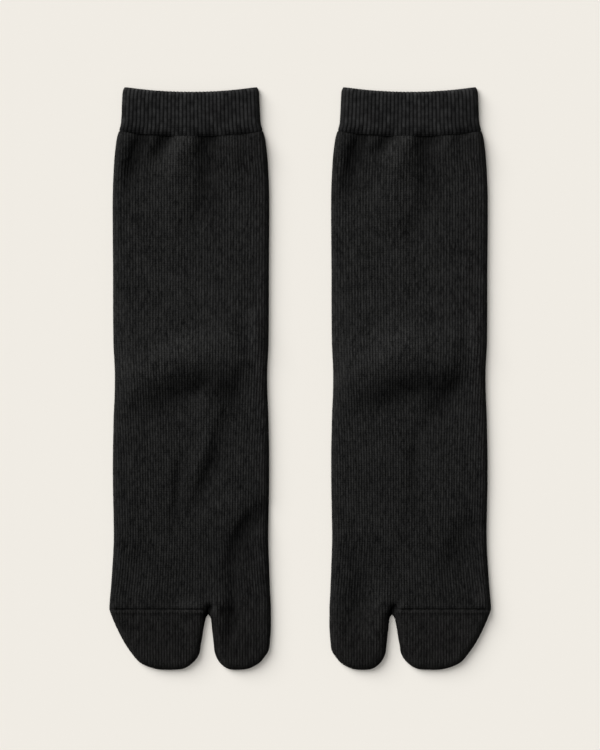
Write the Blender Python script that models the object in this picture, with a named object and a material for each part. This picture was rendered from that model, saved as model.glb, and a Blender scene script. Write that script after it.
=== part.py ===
"""A pair of split-toe (tabi) rib socks, laid flat side by side with the insteps up.

Each sock is knitted in five areas, and each area is its own closed solid here:
  cuff         1 x 1 rib welt, knitted double, an open tube
  leg_foot     the long plain-shaped rib tube from the cuff to the toes
  heel_pocket  the short-row heel, folded flat under the leg, pointing at the cuff
  toe_pocket   the cup for the four small toes, linked on along a straight seam
  big_toe      the cup for the big toe

Sizes are millimetres. A sock's own frame has its origin on the surface below the toe
tips, on the sock's centre line: "across" grows towards the little toe, "up" runs from
the toes to the cuff, and z is the height above the surface. The two socks stand mirrored
about the middle of the pair, and the whole pair is centred on the world's origin.
"""
import math

import bmesh
import bpy
from mathutils import Vector

MM = 0.001

# ---------------------------------------------------------------- driving sizes
LENGTH = 336.4            # toe tips to the corners of the cuff
SOCK_PITCH = 126.1        # centre line to centre line of the two socks
SEAM_GAP = 0.3            # between two pieces that are linked together

LEG_WALL = 1.2            # knitted cloth, without its ribs
CUFF_WALL = 1.6           # the welt is knitted double
RIB_HEIGHT = 0.35
CUFF_RIB_HEIGHT = 0.5
LEG_RIBS = 55             # across the flat width
CUFF_RIBS = 36
POCKET_RIBS = 34
BIG_TOE_RIBS = 21

EDGE_GAP = 1.4            # between the two panels beside a folded edge
CROWN = 0.75              # how much further the panels part in the middle
CROWN_REACH = 9.0         # distance from an edge over which they part
MIN_GAP = 0.3
ROLL = 1.9                # radius of the rounded side folds, seen from above

CUFF_BASE = 310.6         # seam between leg and cuff, at the sides
CUFF_SAG = 2.95           # the cuff's edges hang lower in the middle by this
SAG_REACH = 50.0          # length of leg over which the rows straighten out

TOE_SEAM = 34.9           # seam of the four-toe pocket
SPLIT_ACROSS = -10.0      # where the two toe cups part

HEEL_BASE = 166.5         # toe-side end of the folded heel pocket
HEEL_END = 202.0
HEEL_HALF_WIDTH = 35.5
HEEL_END_HALF_WIDTH = 21.0
HEEL_CORNER = 5.0
HEEL_THICKNESS = 2.4      # two layers of cloth
HEEL_LIFT = HEEL_THICKNESS + SEAM_GAP
LIFT_STARTS, LIFT_FULL = 156.0, 163.5     # the leg's underside climbs onto the heel
LIFT_ENDS, LIFT_GONE = 204.5, 214.0       # and comes down again past its end
HEEL_PUFF = 0.9           # the upper panel stands up over the heel by this much more
PUFF_OVER_HEEL = (178.0, 15.0)            # where it stands highest, how far that reaches
DROP_WIDTH = 7.5          # half the length over which it drops to the instep
LIFT_FALL = (195.0, 228.0)

# ---------------------------------------------------------------- outlines
# Flat half widths of the leg and foot: up, little-toe side, big-toe side.
SIDES = (
    (312.0, 41.3, 41.2),
    (305.0, 43.0, 43.0),
    (291.0, 44.4, 44.4),
    (272.0, 45.1, 45.1),
    (230.0, 44.9, 44.9),
    (190.0, 44.7, 44.7),
    (169.0, 43.8, 43.9),
    (140.0, 44.7, 44.8),
    (112.0, 45.0, 45.1),
    (75.0, 44.5, 44.6),
    (57.0, 45.4, 45.1),
    (36.0, 47.1, 46.1),
)

# Half widths of the cuff: up, little-toe side, big-toe side.
CUFF_SIDES = (
    (312.0, 41.2, 41.1),
    (315.0, 40.4, 40.3),
    (320.0, 40.0, 39.9),
    (328.0, 39.7, 39.5),
    (334.0, 39.2, 39.1),
    (336.4, 38.2, 38.1),
)

# Edge of the four-toe pocket from the split round the tips to the little toe:
# across, up.
POCKET_EDGE = (
    (-9.85, 34.9), (-9.85, 32.6), (-9.4, 31.7), (-8.9, 30.7), (-8.25, 28.6), (-7.1, 22.8),
    (-5.8, 15.0), (-4.4, 8.5), (-1.0, 4.0), (4.0, 0.8), (12.0, 0.0), (20.0, 0.5), (29.1, 4.0),
    (34.5, 10.0), (38.6, 16.1), (42.2, 23.0), (45.3, 30.0), (47.1, 34.9),
)

# Edge of the big toe from its outer side round the tip to the split: across, up.
BIG_TOE_EDGE = (
    (-46.1, 34.9), (-46.1, 23.0), (-45.6, 17.0), (-44.7, 10.9), (-42.4, 7.4), (-39.5, 4.0),
    (-33.5, 0.8), (-27.8, 0.0), (-21.5, 0.6), (-16.8, 4.0), (-14.0, 9.2), (-13.2, 15.0),
    (-12.3, 22.8), (-11.5, 28.6), (-11.1, 30.7), (-10.6, 31.7), (-10.15, 32.6), (-10.15, 34.9),
)

# Rows of the leg and foot: up at the sides, share of the rib height (the linking
# flattens the ribs at both ends), and whether the plain inside has a row there too.
LEG_ROWS = (
    (CUFF_BASE - SEAM_GAP, 0, True),
    (308.6, 1, False),
    (300.0, 1, False),
    (285.0, 1, True),
    (262.0, 1, False),
    (238.0, 1, True),
    (LIFT_GONE, 1, True),
    (LIFT_ENDS, 1, True),
    (190.0, 1, False),
    (179.0, 1, True),
    (171.0, 1, False),
    (LIFT_FULL, 1, True),
    (LIFT_STARTS, 1, True),
    (147.0, 1, True),
    (131.0, 1, True),
    (114.0, 1, False),
    (97.0, 1, False),
    (82.0, 1, True),
    (64.0, 1, False),
    (38.5, 1, False),
    (TOE_SEAM + SEAM_GAP / 2, 0, True),
)

# Rows of the cuff: up at the sides, share of the rib height, how far the faces draw in.
CUFF_ROWS = (
    (CUFF_BASE, 0, 0.3),
    (313.2, 1, 0.0),
    (335.2, 1, 0.0),
    (LENGTH, 0, 0.6),
)

# Places across the underside and across the plain inside, as shares of the half width.
# One is above the split between the toes, at -0.217.
UNDER_COLUMNS = (-0.955, -0.845, -0.5, -0.217, 0.17, 0.5, 0.845, 0.955)
INSIDE_COLUMNS = (-0.925, -0.845, -0.68, -0.5, -0.35, -0.217, 0.02, 0.25, 0.5, 0.68,
                  0.845, 0.925)

# Share of the way from the seam to the toe tips for the rows of a toe cup.
TOE_ROWS = (0.0, 0.09, 0.3, 0.55, 0.8, 1.0)

# ---------------------------------------------------------------- folds
# Where the upper panel drops from the folded heel to the instep: right, up. Right is the
# same direction on both socks.
RIGHT_SOCK_DROP = ((-44.0, 150.0), (-28.0, 155.5), (-10.0, 163.0), (6.0, 167.5),
                   (18.0, 163.5), (30.0, 170.0), (44.0, 173.0))
LEFT_SOCK_DROP = ((-44.0, 151.0), (-27.0, 156.0), (-10.0, 162.5), (5.0, 166.5),
                  (18.0, 163.0), (30.0, 170.0), (44.0, 173.0))

# Soft folds of the upper panel: name, half width, depth (a ridge is negative), and the
# path as (right, up).
RIGHT_SOCK_FOLDS = (
    ("under_cuff_side", 4.2, 0.50, ((-31.0, 304.5), (-34.5, 297.0), (-36.0, 286.0))),
    ("under_cuff_short", 3.2, 0.60, ((-14.0, 304.5), (-19.0, 297.5))),
    ("under_cuff_puff", 6.0, -0.60, ((-5.0, 303.0), (-10.0, 291.0))),
    ("under_cuff_long", 4.5, 0.65, ((8.5, 304.5), (7.0, 292.0), (4.0, 274.0), (-2.0, 258.0))),
    ("heel_crest", 8.0, -0.60, ((-24.0, 172.0), (-8.0, 177.0), (10.0, 183.0))),
    ("instep_diagonal", 4.6, 0.80, ((22.0, 148.0), (16.5, 134.0), (11.5, 118.0),
                                    (4.0, 101.0))),
    ("instep_short", 3.4, 0.50, ((-5.5, 120.0), (-9.0, 92.0))),
    ("ball_diagonal", 4.8, 0.85, ((37.0, 92.0), (29.5, 84.0), (24.0, 72.0), (21.0, 60.0))),
    ("big_toe_trough", 4.0, 0.60, ((23.5, 54.0), (24.0, 38.0), (22.0, 20.0))),
)
LEFT_SOCK_FOLDS = (
    ("under_cuff_side", 4.2, 0.50, ((-30.5, 304.5), (-34.5, 296.0), (-36.0, 284.0))),
    ("under_cuff_short", 3.2, 0.60, ((-14.0, 304.5), (-18.5, 297.5))),
    ("under_cuff_puff", 6.0, -0.60, ((-5.0, 303.0), (-9.5, 291.0))),
    ("under_cuff_long", 4.5, 0.65, ((8.5, 304.5), (8.0, 290.0), (6.0, 272.0), (0.0, 257.0))),
    ("heel_crest", 8.0, -0.60, ((-22.0, 174.0), (-6.0, 181.0), (10.0, 184.0))),
    ("ankle_second", 4.6, 0.70, ((25.0, 160.0), (17.0, 152.5), (9.0, 143.0))),
    ("instep_short", 4.0, 0.50, ((3.0, 134.0), (1.5, 100.0))),
    ("ball_diagonal", 5.6, 0.70, ((35.0, 88.0), (27.0, 75.0), (21.0, 62.0))),
)

# Folds that both socks have, by their seams: name, half width, depth, path (across, up).
SEAM_FOLDS = (
    ("toe_seam_groove", 1.3, 0.40, ((-6.0, TOE_SEAM), (46.0, TOE_SEAM))),
    ("split_pucker", 3.2, 0.60, ((SPLIT_ACROSS, 32.5), (SPLIT_ACROSS, 36.5))),
)

# ---------------------------------------------------------------- colours, roughness
BLACK_COTTON = {
    "cuff": ((0.0137, 0.0137, 0.0137), 0.86),
    "leg_foot": ((0.0125, 0.0125, 0.0123), 0.90),
    "heel_pocket": ((0.0110, 0.0108, 0.0105), 0.92),
    "toe_pocket": ((0.0100, 0.0099, 0.0097), 0.90),
    "big_toe": ((0.0104, 0.0102, 0.0099), 0.90),
}


# ---------------------------------------------------------------- curves and heights
def smooth_value(table, column, at):
    """Value of a table's column at a height, on a smooth curve through its rows."""
    rows = sorted(table)
    at = min(max(at, rows[0][0]), rows[-1][0])
    low = max(i for i in range(len(rows) - 1) if rows[i][0] <= at)

    def tangent(i):
        before, after = rows[max(i - 1, 0)], rows[min(i + 1, len(rows) - 1)]
        return (after[column] - before[column]) / (after[0] - before[0])

    span = rows[low + 1][0] - rows[low][0]
    t = (at - rows[low][0]) / span
    return (rows[low][column] * (2 * t**3 - 3 * t**2 + 1)
            + tangent(low) * span * (t**3 - 2 * t**2 + t)
            + rows[low + 1][column] * (3 * t**2 - 2 * t**3)
            + tangent(low + 1) * span * (t**3 - t**2))


def smooth_path(points, steps=6):
    """A centripetal Catmull-Rom curve through the points, as 2D vectors."""
    knots = [Vector(p) for p in points]
    knots = [2 * knots[0] - knots[1]] + knots + [2 * knots[-1] - knots[-2]]
    path = []
    for a, b, c, d in zip(knots, knots[1:], knots[2:], knots[3:]):
        t1 = math.sqrt((b - a).length)
        t2 = t1 + math.sqrt((c - b).length)
        t3 = t2 + math.sqrt((d - c).length)
        for step in range(steps):
            t = t1 + (t2 - t1) * step / steps
            ab = a.lerp(b, t / t1)
            bc = b.lerp(c, (t - t1) / (t2 - t1))
            cd = c.lerp(d, (t - t2) / (t3 - t2))
            abc = ab.lerp(bc, t / t2)
            bcd = bc.lerp(cd, (t - t1) / (t3 - t1))
            path.append(abc.lerp(bcd, (t - t1) / (t2 - t1)))
    return path + [knots[-2]]


def distance_to_path(point, path):
    """Shortest distance from a point to a run of straight stretches."""
    best = math.inf
    for a, b in zip(path, path[1:]):
        along = b - a
        t = min(max((point - a).dot(along) / along.length_squared, 0.0), 1.0)
        best = min(best, (a + along * t - point).length)
    return best


def ramp(at, start, end):
    """0 before start, 1 after end, with a smooth rise between."""
    t = min(max((at - start) / (end - start), 0.0), 1.0)
    return t * t * (3 - 2 * t)


class Sock:
    """Shape of one sock's cloth: side is -1 for the right sock and 1 for the left."""

    def __init__(self, name, side, folds, drop):
        self.name = name
        self.side = side
        self.drop = drop
        self.folds = [(width, depth, [Vector((side * x, y)) for x, y in path])
                      for _, width, depth, path in folds]
        self.folds += [(width, depth, [Vector(p) for p in path])
                       for _, width, depth, path in SEAM_FOLDS]
        self.toe_edges = [smooth_path(POCKET_EDGE), smooth_path(BIG_TOE_EDGE)]

    def fold_depth(self, point):
        """How far the folds sink the upper panel at a point."""
        return sum(depth * math.exp(-(distance_to_path(point, path) / width) ** 2)
                   for width, depth, path in self.folds)

    def edge_distance(self, point):
        """Distance from a point to the nearest side fold or toe edge."""
        if point.y >= TOE_SEAM:
            return min(smooth_value(SIDES, 1, point.y) - point.x,
                       smooth_value(SIDES, 2, point.y) + point.x)
        return distance_to_path(point, self.toe_edges[0 if point.x > SPLIT_ACROSS else 1])

    def heel_lift(self, point):
        """How far the folded heel pocket lifts the upper panel."""
        half = smooth_value(SIDES, 1, point.y)
        drop = smooth_value(self.drop, 1, self.side * point.x)
        along = ramp(point.y, drop - DROP_WIDTH, drop + DROP_WIDTH)
        along *= 1 - ramp(point.y, *LIFT_FALL)
        middle, reach = PUFF_OVER_HEEL
        lift = HEEL_LIFT + HEEL_PUFF * math.exp(-((point.y - middle) / reach) ** 2)
        return lift * along * (1 - ramp(abs(point.x) / half, 0.74, 1.0))

    def panel_gap(self, point, under_lift=0.0):
        """Room between the two panels at a point."""
        inward = max(self.edge_distance(point), 0.0)
        room = EDGE_GAP + CROWN * (1 - math.exp(-inward / CROWN_REACH))
        room += self.heel_lift(point) - under_lift - self.fold_depth(point)
        return max(room, MIN_GAP)

    def top(self, point, wall, under_lift=0.0):
        """Height of the upper panel's outer face, at the bottom of its ribs."""
        return under_lift + wall + self.panel_gap(point, under_lift) + wall


def slope(at, start, end):
    """0 before start, 1 after end, and a straight rise between."""
    return min(max((at - start) / (end - start), 0.0), 1.0)


def under_lift(share, up):
    """Height of the leg's underside where it passes over the folded heel pocket."""
    rise = slope(up, LIFT_STARTS, LIFT_FULL)
    fall = 1 - slope(up, LIFT_ENDS, LIFT_GONE)
    sides = 1 - slope(abs(share), UNDER_COLUMNS[-2], UNDER_COLUMNS[-1])
    return HEEL_LIFT * min(rise, fall) * sides


# ---------------------------------------------------------------- mesh helpers
def add_face(bm, corners):
    """One face, without the corners that fall on the same vertex."""
    kept = [v for i, v in enumerate(corners) if v is not corners[i - 1]]
    if len(kept) > 2:
        bm.faces.new(kept)


def skin(bm, lines, closed=False):
    """Quads between neighbouring lines of vertices."""
    for line, following in zip(lines, lines[1:]):
        count = len(line)
        for i in range(count if closed else count - 1):
            j = (i + 1) % count
            add_face(bm, (line[i], line[j], following[j], following[i]))


def bridge(bm, outer, inner):
    """Triangles between two closed loops of (turn, vertex), turn growing from 0 to 1."""
    i = j = 0
    while i < len(outer) or j < len(inner):
        next_outer = outer[i + 1][0] if i + 1 < len(outer) else 1.0 + outer[0][0]
        next_inner = inner[j + 1][0] if j + 1 < len(inner) else 1.0 + inner[0][0]
        a, b = outer[i % len(outer)][1], inner[j % len(inner)][1]
        if j >= len(inner) or (i < len(outer) and next_outer <= next_inner):
            add_face(bm, (a, outer[(i + 1) % len(outer)][1], b))
            i += 1
        else:
            add_face(bm, (a, inner[(j + 1) % len(inner)][1], b))
            j += 1


def cloth_material(name, colour, roughness):
    material = bpy.data.materials.new(name)
    material.use_nodes = True
    shader = material.node_tree.nodes["Principled BSDF"]
    shader.inputs["Base Color"].default_value = (*colour, 1.0)
    shader.inputs["Roughness"].default_value = roughness
    shader.inputs["Metallic"].default_value = 0.0
    material.diffuse_color = (*colour, 1.0)
    return material


def finish(bm, sock, piece, collection, parent):
    """Turn a finished bmesh into the sock's named object."""
    bmesh.ops.recalc_face_normals(bm, faces=bm.faces)
    mesh = bpy.data.meshes.new(f"{sock.name}_{piece}")
    bm.to_mesh(mesh)
    bm.free()
    mesh.shade_smooth()
    mesh.set_sharp_from_angle(angle=math.radians(30))
    mesh.materials.append(cloth_material(f"{sock.name}_{piece}", *BLACK_COTTON[piece]))
    obj = bpy.data.objects.new(f"{sock.name}_{piece}", mesh)
    obj.parent = parent
    collection.objects.link(obj)
    return obj


def rib_profile(count):
    """Places across the face from 0 to 1, with 1.0 on the crests and 0.0 between them."""
    return [(i / (2 * count), i % 2) for i in range(2 * count + 1)]


# ---------------------------------------------------------------- tubes: leg and cuff
# A loop's turn runs from 0 to 0.5 across the upper face, round the little-toe side to
# 0.53, back across the underside to 0.97, and round the big-toe side to 1.
UNDER_TURNS = (0.53, 0.97)


def under_turn(share):
    """Turn of a place across the underside, from its share of the half width."""
    start, end = UNDER_TURNS
    return start + (end - start) * (1 - share) / 2


def hang(across, up, sag, half):
    """A row's height at a point: rows near the cuff hang lower in the middle."""
    return up - sag * (1 - min(abs(across) / half, 1.0) ** 2)


def tube_row(bm, sock, up, sides, wall, rib_height, ribs, inset=0.0):
    """One row of a flattened tube: its outer loop, as (turn, vertex) pairs."""
    little, big = smooth_value(sides, 1, up), smooth_value(sides, 2, up)
    sag = CUFF_SAG * ramp(up, CUFF_BASE - SAG_REACH, CUFF_BASE)
    loop = []

    def place(turn, across, z):
        x = sock.side * across
        y = hang(across, up, sag, min(little, big))
        loop.append((turn, bm.verts.new((x * MM, y * MM, z * MM))))

    left, right = -(big - ROLL), little - ROLL
    for share, crest in rib_profile(ribs):
        across = left + (right - left) * share
        point = Vector((across, hang(across, up, sag, min(little, big))))
        lift = under_lift(across / (little if across > 0 else big), up)
        z = sock.top(point, wall, lift) - inset + rib_height * crest
        place(0.5 * share, across, z)
    edge_top = sock.top(Vector((right, up)), wall) - inset
    for turn, angle in ((0.51, 45), (0.52, 0)):
        place(turn, right + ROLL * math.cos(math.radians(angle)),
              edge_top / 2 * (1 + math.sin(math.radians(angle))))
    for share in reversed(UNDER_COLUMNS):
        across = share * (little if share > 0 else big)
        place(under_turn(share), across, under_lift(share, up) + inset / 2)
    edge_top = sock.top(Vector((left, up)), wall) - inset
    for turn, angle in ((0.98, 0), (0.99, 45)):
        place(turn, left - ROLL * math.cos(math.radians(angle)),
              edge_top / 2 * (1 + math.sin(math.radians(angle))))
    return loop


def inner_row(bm, sock, up, sides, wall):
    """The plain inside of one row: its loop, as (turn, vertex) pairs."""
    little, big = smooth_value(sides, 1, up), smooth_value(sides, 2, up)
    sag = CUFF_SAG * ramp(up, CUFF_BASE - SAG_REACH, CUFF_BASE)
    upper, lower = [], []
    for share in INSIDE_COLUMNS:
        across = share * (little if share > 0 else big)
        y = hang(across, up, sag, min(little, big))
        floor = under_lift(share, up) + wall
        ceiling = floor + sock.panel_gap(Vector((across, y)), floor - wall)
        x = sock.side * across
        upper.append((0.25 * (1 + share), bm.verts.new((x * MM, y * MM, ceiling * MM))))
        lower.append((under_turn(share), bm.verts.new((x * MM, y * MM, floor * MM))))
    return upper + lower[::-1]


def close_tube(bm, outer_rows, inner_rows):
    """Skin the outside and the inside of an open tube, and close both its rims."""
    skin(bm, [[v for _, v in row] for row in outer_rows], closed=True)
    skin(bm, [[v for _, v in row] for row in reversed(inner_rows)], closed=True)
    bridge(bm, outer_rows[0], inner_rows[0])
    bridge(bm, outer_rows[-1], inner_rows[-1])


def make_leg_foot(sock, collection, parent):
    bm = bmesh.new()
    outer_rows = [tube_row(bm, sock, up, SIDES, LEG_WALL, RIB_HEIGHT * ribbed, LEG_RIBS)
                  for up, ribbed, _ in LEG_ROWS]
    inner_rows = [inner_row(bm, sock, up, SIDES, LEG_WALL)
                  for up, _, inside in LEG_ROWS if inside]
    close_tube(bm, outer_rows, inner_rows)
    return finish(bm, sock, "leg_foot", collection, parent)


def make_cuff(sock, collection, parent):
    bm = bmesh.new()
    outer_rows = [tube_row(bm, sock, up, CUFF_SIDES, CUFF_WALL, CUFF_RIB_HEIGHT * ribbed,
                           CUFF_RIBS, inset)
                  for up, ribbed, inset in CUFF_ROWS]
    inner_rows = [inner_row(bm, sock, up, CUFF_SIDES, CUFF_WALL)
                  for up in (CUFF_ROWS[0][0], CUFF_ROWS[-1][0])]
    close_tube(bm, outer_rows, inner_rows)
    return finish(bm, sock, "cuff", collection, parent)


# ---------------------------------------------------------------- toe cups
LEAN = 0.14               # how much a steep toe edge draws the ribs along with it
RIBBED_AT = {0.0: 0.0, 1.0: 0.4}    # ribs fade at the seam and at the rounded edge
CUP_INSIDE_INSET = LEG_WALL + 1.3   # from a cup's edge to its plain inside
CUP_INSIDE_COLUMNS = 10


def rib_feet(edge, shares):
    """Points of the edge where the ribs end: (point, outward direction) per share.

    A rib runs almost straight down from the seam, so a point's share grows with its
    place across, and a little with the distance run along the edge.
    """
    path = smooth_path(edge)
    progress = [0.0]
    for a, b in zip(path, path[1:]):
        progress.append(progress[-1] + max(b.x - a.x, 0.0) + LEAN * (b - a).length)
    feet = []
    for share in shares:
        target = share * progress[-1]
        i = max(k for k in range(len(path) - 1) if progress[k] <= target)
        t = (target - progress[i]) / (progress[i + 1] - progress[i])
        along = (path[min(i + 2, len(path) - 1)] - path[max(i - 1, 0)]).normalized()
        outward = Vector((along.y, -along.x))
        if share in (0.0, 1.0):
            outward = Vector((1.0 if share else -1.0, 0.0))
        feet.append((path[i].lerp(path[i + 1], t), outward))
    return feet


def cup_lines(bm, sock, edge, profile, wall_inset, height, rows):
    """Vertex lines of a cup's upper face, one from the seam to the edge for each rib."""
    feet = rib_feet(edge, [share for share, _ in profile])
    first, last = feet[0][0], feet[-1][0]
    lines = []
    for index, (share, crest) in enumerate(profile):
        foot = feet[index][0] - feet[index][1] * wall_inset
        foot.y = min(foot.y, first.y)
        head = Vector((first.x + wall_inset
                       + (last.x - first.x - 2 * wall_inset) * share, first.y))
        at_corner = index in (0, len(profile) - 1)
        line = []
        for t in rows:
            if at_corner and line:
                line.append(line[0])
                continue
            point = head.lerp(foot, t)
            z = height(point, crest * RIBBED_AT.get(t, 1.0))
            line.append(bm.verts.new((sock.side * point.x * MM, point.y * MM, z * MM)))
        lines.append(line)
    return lines, feet


def make_toe_cup(sock, piece, edge, ribs, collection, parent):
    """A toe cup: ribbed above, flat below, rounded round its edge, open at the seam."""
    bm = bmesh.new()
    rim_up = TOE_SEAM - SEAM_GAP / 2
    edge = [(edge[0][0], rim_up), *edge[1:-1], (edge[-1][0], rim_up)]

    def outer_height(point, crest):
        return sock.top(point, LEG_WALL) + RIB_HEIGHT * crest

    def inner_height(point, _crest):
        return LEG_WALL + sock.panel_gap(point)

    profile = rib_profile(ribs)
    lines, feet = cup_lines(bm, sock, edge, profile, ROLL, outer_height, TOE_ROWS)

    rolls = []
    for angle in (45, 0, -90):
        ring = []
        for (point, outward), line in zip(feet, lines):
            spot = point - outward * ROLL * (1 - math.cos(math.radians(angle)))
            spot.y = min(spot.y, rim_up)
            z = line[-1].co.z / 2 * (1 + math.sin(math.radians(angle)))
            ring.append(bm.verts.new((sock.side * spot.x * MM, spot.y * MM, z)))
        rolls.append(ring)
    skin(bm, lines)
    skin(bm, [[line[-1] for line in lines]] + rolls)
    bm.faces.new(rolls[-1])

    plain = [(i / CUP_INSIDE_COLUMNS, 0) for i in range(CUP_INSIDE_COLUMNS + 1)]
    inner_lines, _ = cup_lines(bm, sock, edge, plain, CUP_INSIDE_INSET, inner_height,
                               (0.0, 0.5, 1.0))
    floor_ring = [bm.verts.new((line[-1].co.x, line[-1].co.y, LEG_WALL * MM))
                  for line in inner_lines]
    skin(bm, inner_lines)
    skin(bm, [[line[-1] for line in inner_lines], floor_ring])
    bm.faces.new(floor_ring)

    outer_rim = [(0.5 * share, line[0]) for (share, _), line in zip(profile, lines)]
    outer_rim += [(0.51 + 0.01 * k, ring[-1]) for k, ring in enumerate(rolls)]
    outer_rim += [(0.97 + 0.01 * k, ring[0]) for k, ring in enumerate(reversed(rolls))]
    inner_rim = [(0.02 + 0.46 * share, line[0])
                 for (share, _), line in zip(plain, inner_lines)]
    inner_rim += [(0.54, floor_ring[-1]), (0.96, floor_ring[0])]
    bridge(bm, outer_rim, inner_rim)
    return finish(bm, sock, piece, collection, parent)


# ---------------------------------------------------------------- folded heel pocket
def heel_outline(draw_in):
    """Outline of the folded heel, drawn in from its edge: a rounded trapezium."""
    half = [
        Vector((0.0, HEEL_BASE)),
        Vector((HEEL_HALF_WIDTH - HEEL_CORNER, HEEL_BASE)),
        Vector((HEEL_HALF_WIDTH, HEEL_BASE + HEEL_CORNER)),
        Vector((HEEL_END_HALF_WIDTH + HEEL_CORNER, HEEL_END - 1.5 * HEEL_CORNER)),
        Vector((HEEL_END_HALF_WIDTH - HEEL_CORNER, HEEL_END - 0.1 * HEEL_CORNER)),
        Vector((0.0, HEEL_END)),
    ]
    middle = Vector((0.0, (HEEL_BASE + HEEL_END) / 2))
    right = [p + (middle - p).normalized() * draw_in for p in smooth_path(half, steps=3)]
    return right + [Vector((-p.x, p.y)) for p in reversed(right[1:-1])]


# The heel's edge shows its two layers: height, and how far the outline draws in there.
HEEL_LAYERS = (
    (0.0, 1.0), (0.6, 0.0), (HEEL_THICKNESS / 2, 0.7), (HEEL_THICKNESS - 0.6, 0.0),
    (HEEL_THICKNESS, 1.0),
)


def make_heel_pocket(sock, collection, parent):
    bm = bmesh.new()
    rings = [[bm.verts.new((sock.side * p.x * MM, p.y * MM, z * MM))
              for p in heel_outline(draw_in)]
             for z, draw_in in HEEL_LAYERS]
    skin(bm, rings, closed=True)
    bm.faces.new(rings[0])
    bm.faces.new(rings[-1])
    return finish(bm, sock, "heel_pocket", collection, parent)


# ---------------------------------------------------------------- the pair
def make_sock(name, side, folds, drop, collection):
    """One sock, its pieces parented to an empty at the toe end of its centre line."""
    sock = Sock(name, side, folds, drop)
    parent = bpy.data.objects.new(f"{name}_sock", None)
    parent.location = (side * SOCK_PITCH / 2 * MM, -LENGTH / 2 * MM, 0.0)
    collection.objects.link(parent)
    make_cuff(sock, collection, parent)
    make_leg_foot(sock, collection, parent)
    make_heel_pocket(sock, collection, parent)
    make_toe_cup(sock, "toe_pocket", POCKET_EDGE, POCKET_RIBS, collection, parent)
    make_toe_cup(sock, "big_toe", BIG_TOE_EDGE, BIG_TOE_RIBS, collection, parent)


for old in list(bpy.data.objects):
    bpy.data.objects.remove(old, do_unlink=True)

pair = bpy.data.collections.new("tabi_socks")
bpy.context.scene.collection.children.link(pair)
make_sock("right", -1, RIGHT_SOCK_FOLDS, RIGHT_SOCK_DROP, pair)
make_sock("left", 1, LEFT_SOCK_FOLDS, LEFT_SOCK_DROP, pair)
bpy.context.view_layer.update()
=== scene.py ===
"""A pair of black split-toe rib socks, laid flat side by side with their insteps up.

Each shell here takes the place of one solid of the frame. Sizes are millimetres in a
sock's own frame: "across" grows from its centre line to the little toe, "up" runs from
the toe tips to the cuff, and z is the height above the surface. "right" is across as it
is seen from above, the same way on both socks. Sock.place() turns them into metres in
the frame.
"""
import math

import bmesh
import bpy
import numpy as np
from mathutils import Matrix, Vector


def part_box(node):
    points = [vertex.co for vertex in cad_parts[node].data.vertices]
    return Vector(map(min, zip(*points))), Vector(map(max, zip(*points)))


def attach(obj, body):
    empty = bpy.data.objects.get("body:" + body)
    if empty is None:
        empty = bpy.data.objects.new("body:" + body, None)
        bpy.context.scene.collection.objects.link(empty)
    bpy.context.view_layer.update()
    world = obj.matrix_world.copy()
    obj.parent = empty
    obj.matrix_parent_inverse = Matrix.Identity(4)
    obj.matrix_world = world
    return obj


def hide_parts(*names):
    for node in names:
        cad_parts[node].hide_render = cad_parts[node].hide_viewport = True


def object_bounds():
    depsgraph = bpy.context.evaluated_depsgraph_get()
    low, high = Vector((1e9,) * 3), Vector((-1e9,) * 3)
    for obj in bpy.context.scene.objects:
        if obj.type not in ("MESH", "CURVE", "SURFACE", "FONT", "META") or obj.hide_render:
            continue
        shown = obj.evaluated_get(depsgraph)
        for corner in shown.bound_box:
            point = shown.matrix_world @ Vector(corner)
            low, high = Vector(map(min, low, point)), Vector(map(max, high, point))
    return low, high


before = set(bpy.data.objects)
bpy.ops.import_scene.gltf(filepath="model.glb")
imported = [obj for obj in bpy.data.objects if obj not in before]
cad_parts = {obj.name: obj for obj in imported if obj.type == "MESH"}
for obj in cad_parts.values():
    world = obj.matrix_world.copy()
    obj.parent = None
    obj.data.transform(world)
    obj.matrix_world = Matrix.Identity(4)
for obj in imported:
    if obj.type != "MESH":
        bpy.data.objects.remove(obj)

cad_low, cad_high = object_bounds()

# ================================================================ leg and foot
# Each leg and foot is one tube of fine black cotton rib, knitted round from the cuff to
# the toes. It lies flat: the lower panel on the surface, the upper panel over the folded
# heel, with soft folds below the tight cuff, over the ankle and along the instep.
MM = 0.001
SEAM_GAP = 0.3            # the solids stand this far apart at their seams
LEG_WALL = 1.2            # one layer of knit without its ribs
LEG_RIBS = 118            # round the whole tube
UPPER_RIBS = 62           # at most this many lie on the upper panel
RIB_COLUMNS = 6           # mesh columns to a rib there, and 2 below
RIB_HEIGHT = 0.50
RIB_SHARPNESS = 1.15      # how narrow the ribs stand between their grooves
COURSE = 1.25             # height of one row of stitches
LEG_ROWS = (0.32, 1.72, 6.0)      # mesh rows: closest, widest, and how soon they widen
INSIDE_ROWS = 26

EDGE_MID = 1.6            # height of the outermost line of a folded edge
EDGE_REACH = 4.4          # the upper panel rounds down to it over this distance
EDGE_RISE = 3.8           # and falls about this much
EDGE_FADE = 2.2           # and its ribs flatten over this one
EDGE_FLATTENS = 0.75      # by this share of their height
UNDER_REACH = 1.8         # the lower panel rounds up to the edge over this one
DRAW_IN = 0.02            # the ribs stand out beyond the edge by this
EDGE_GAP = 2.7            # between the panels beside a folded edge
CROWN = 0.9               # how much further they part in the middle
CROWN_REACH = 9.0
MIN_GAP = 0.3
UNDER_RELIEF = 0.12       # the ribs pressed flat under the sock

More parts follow.
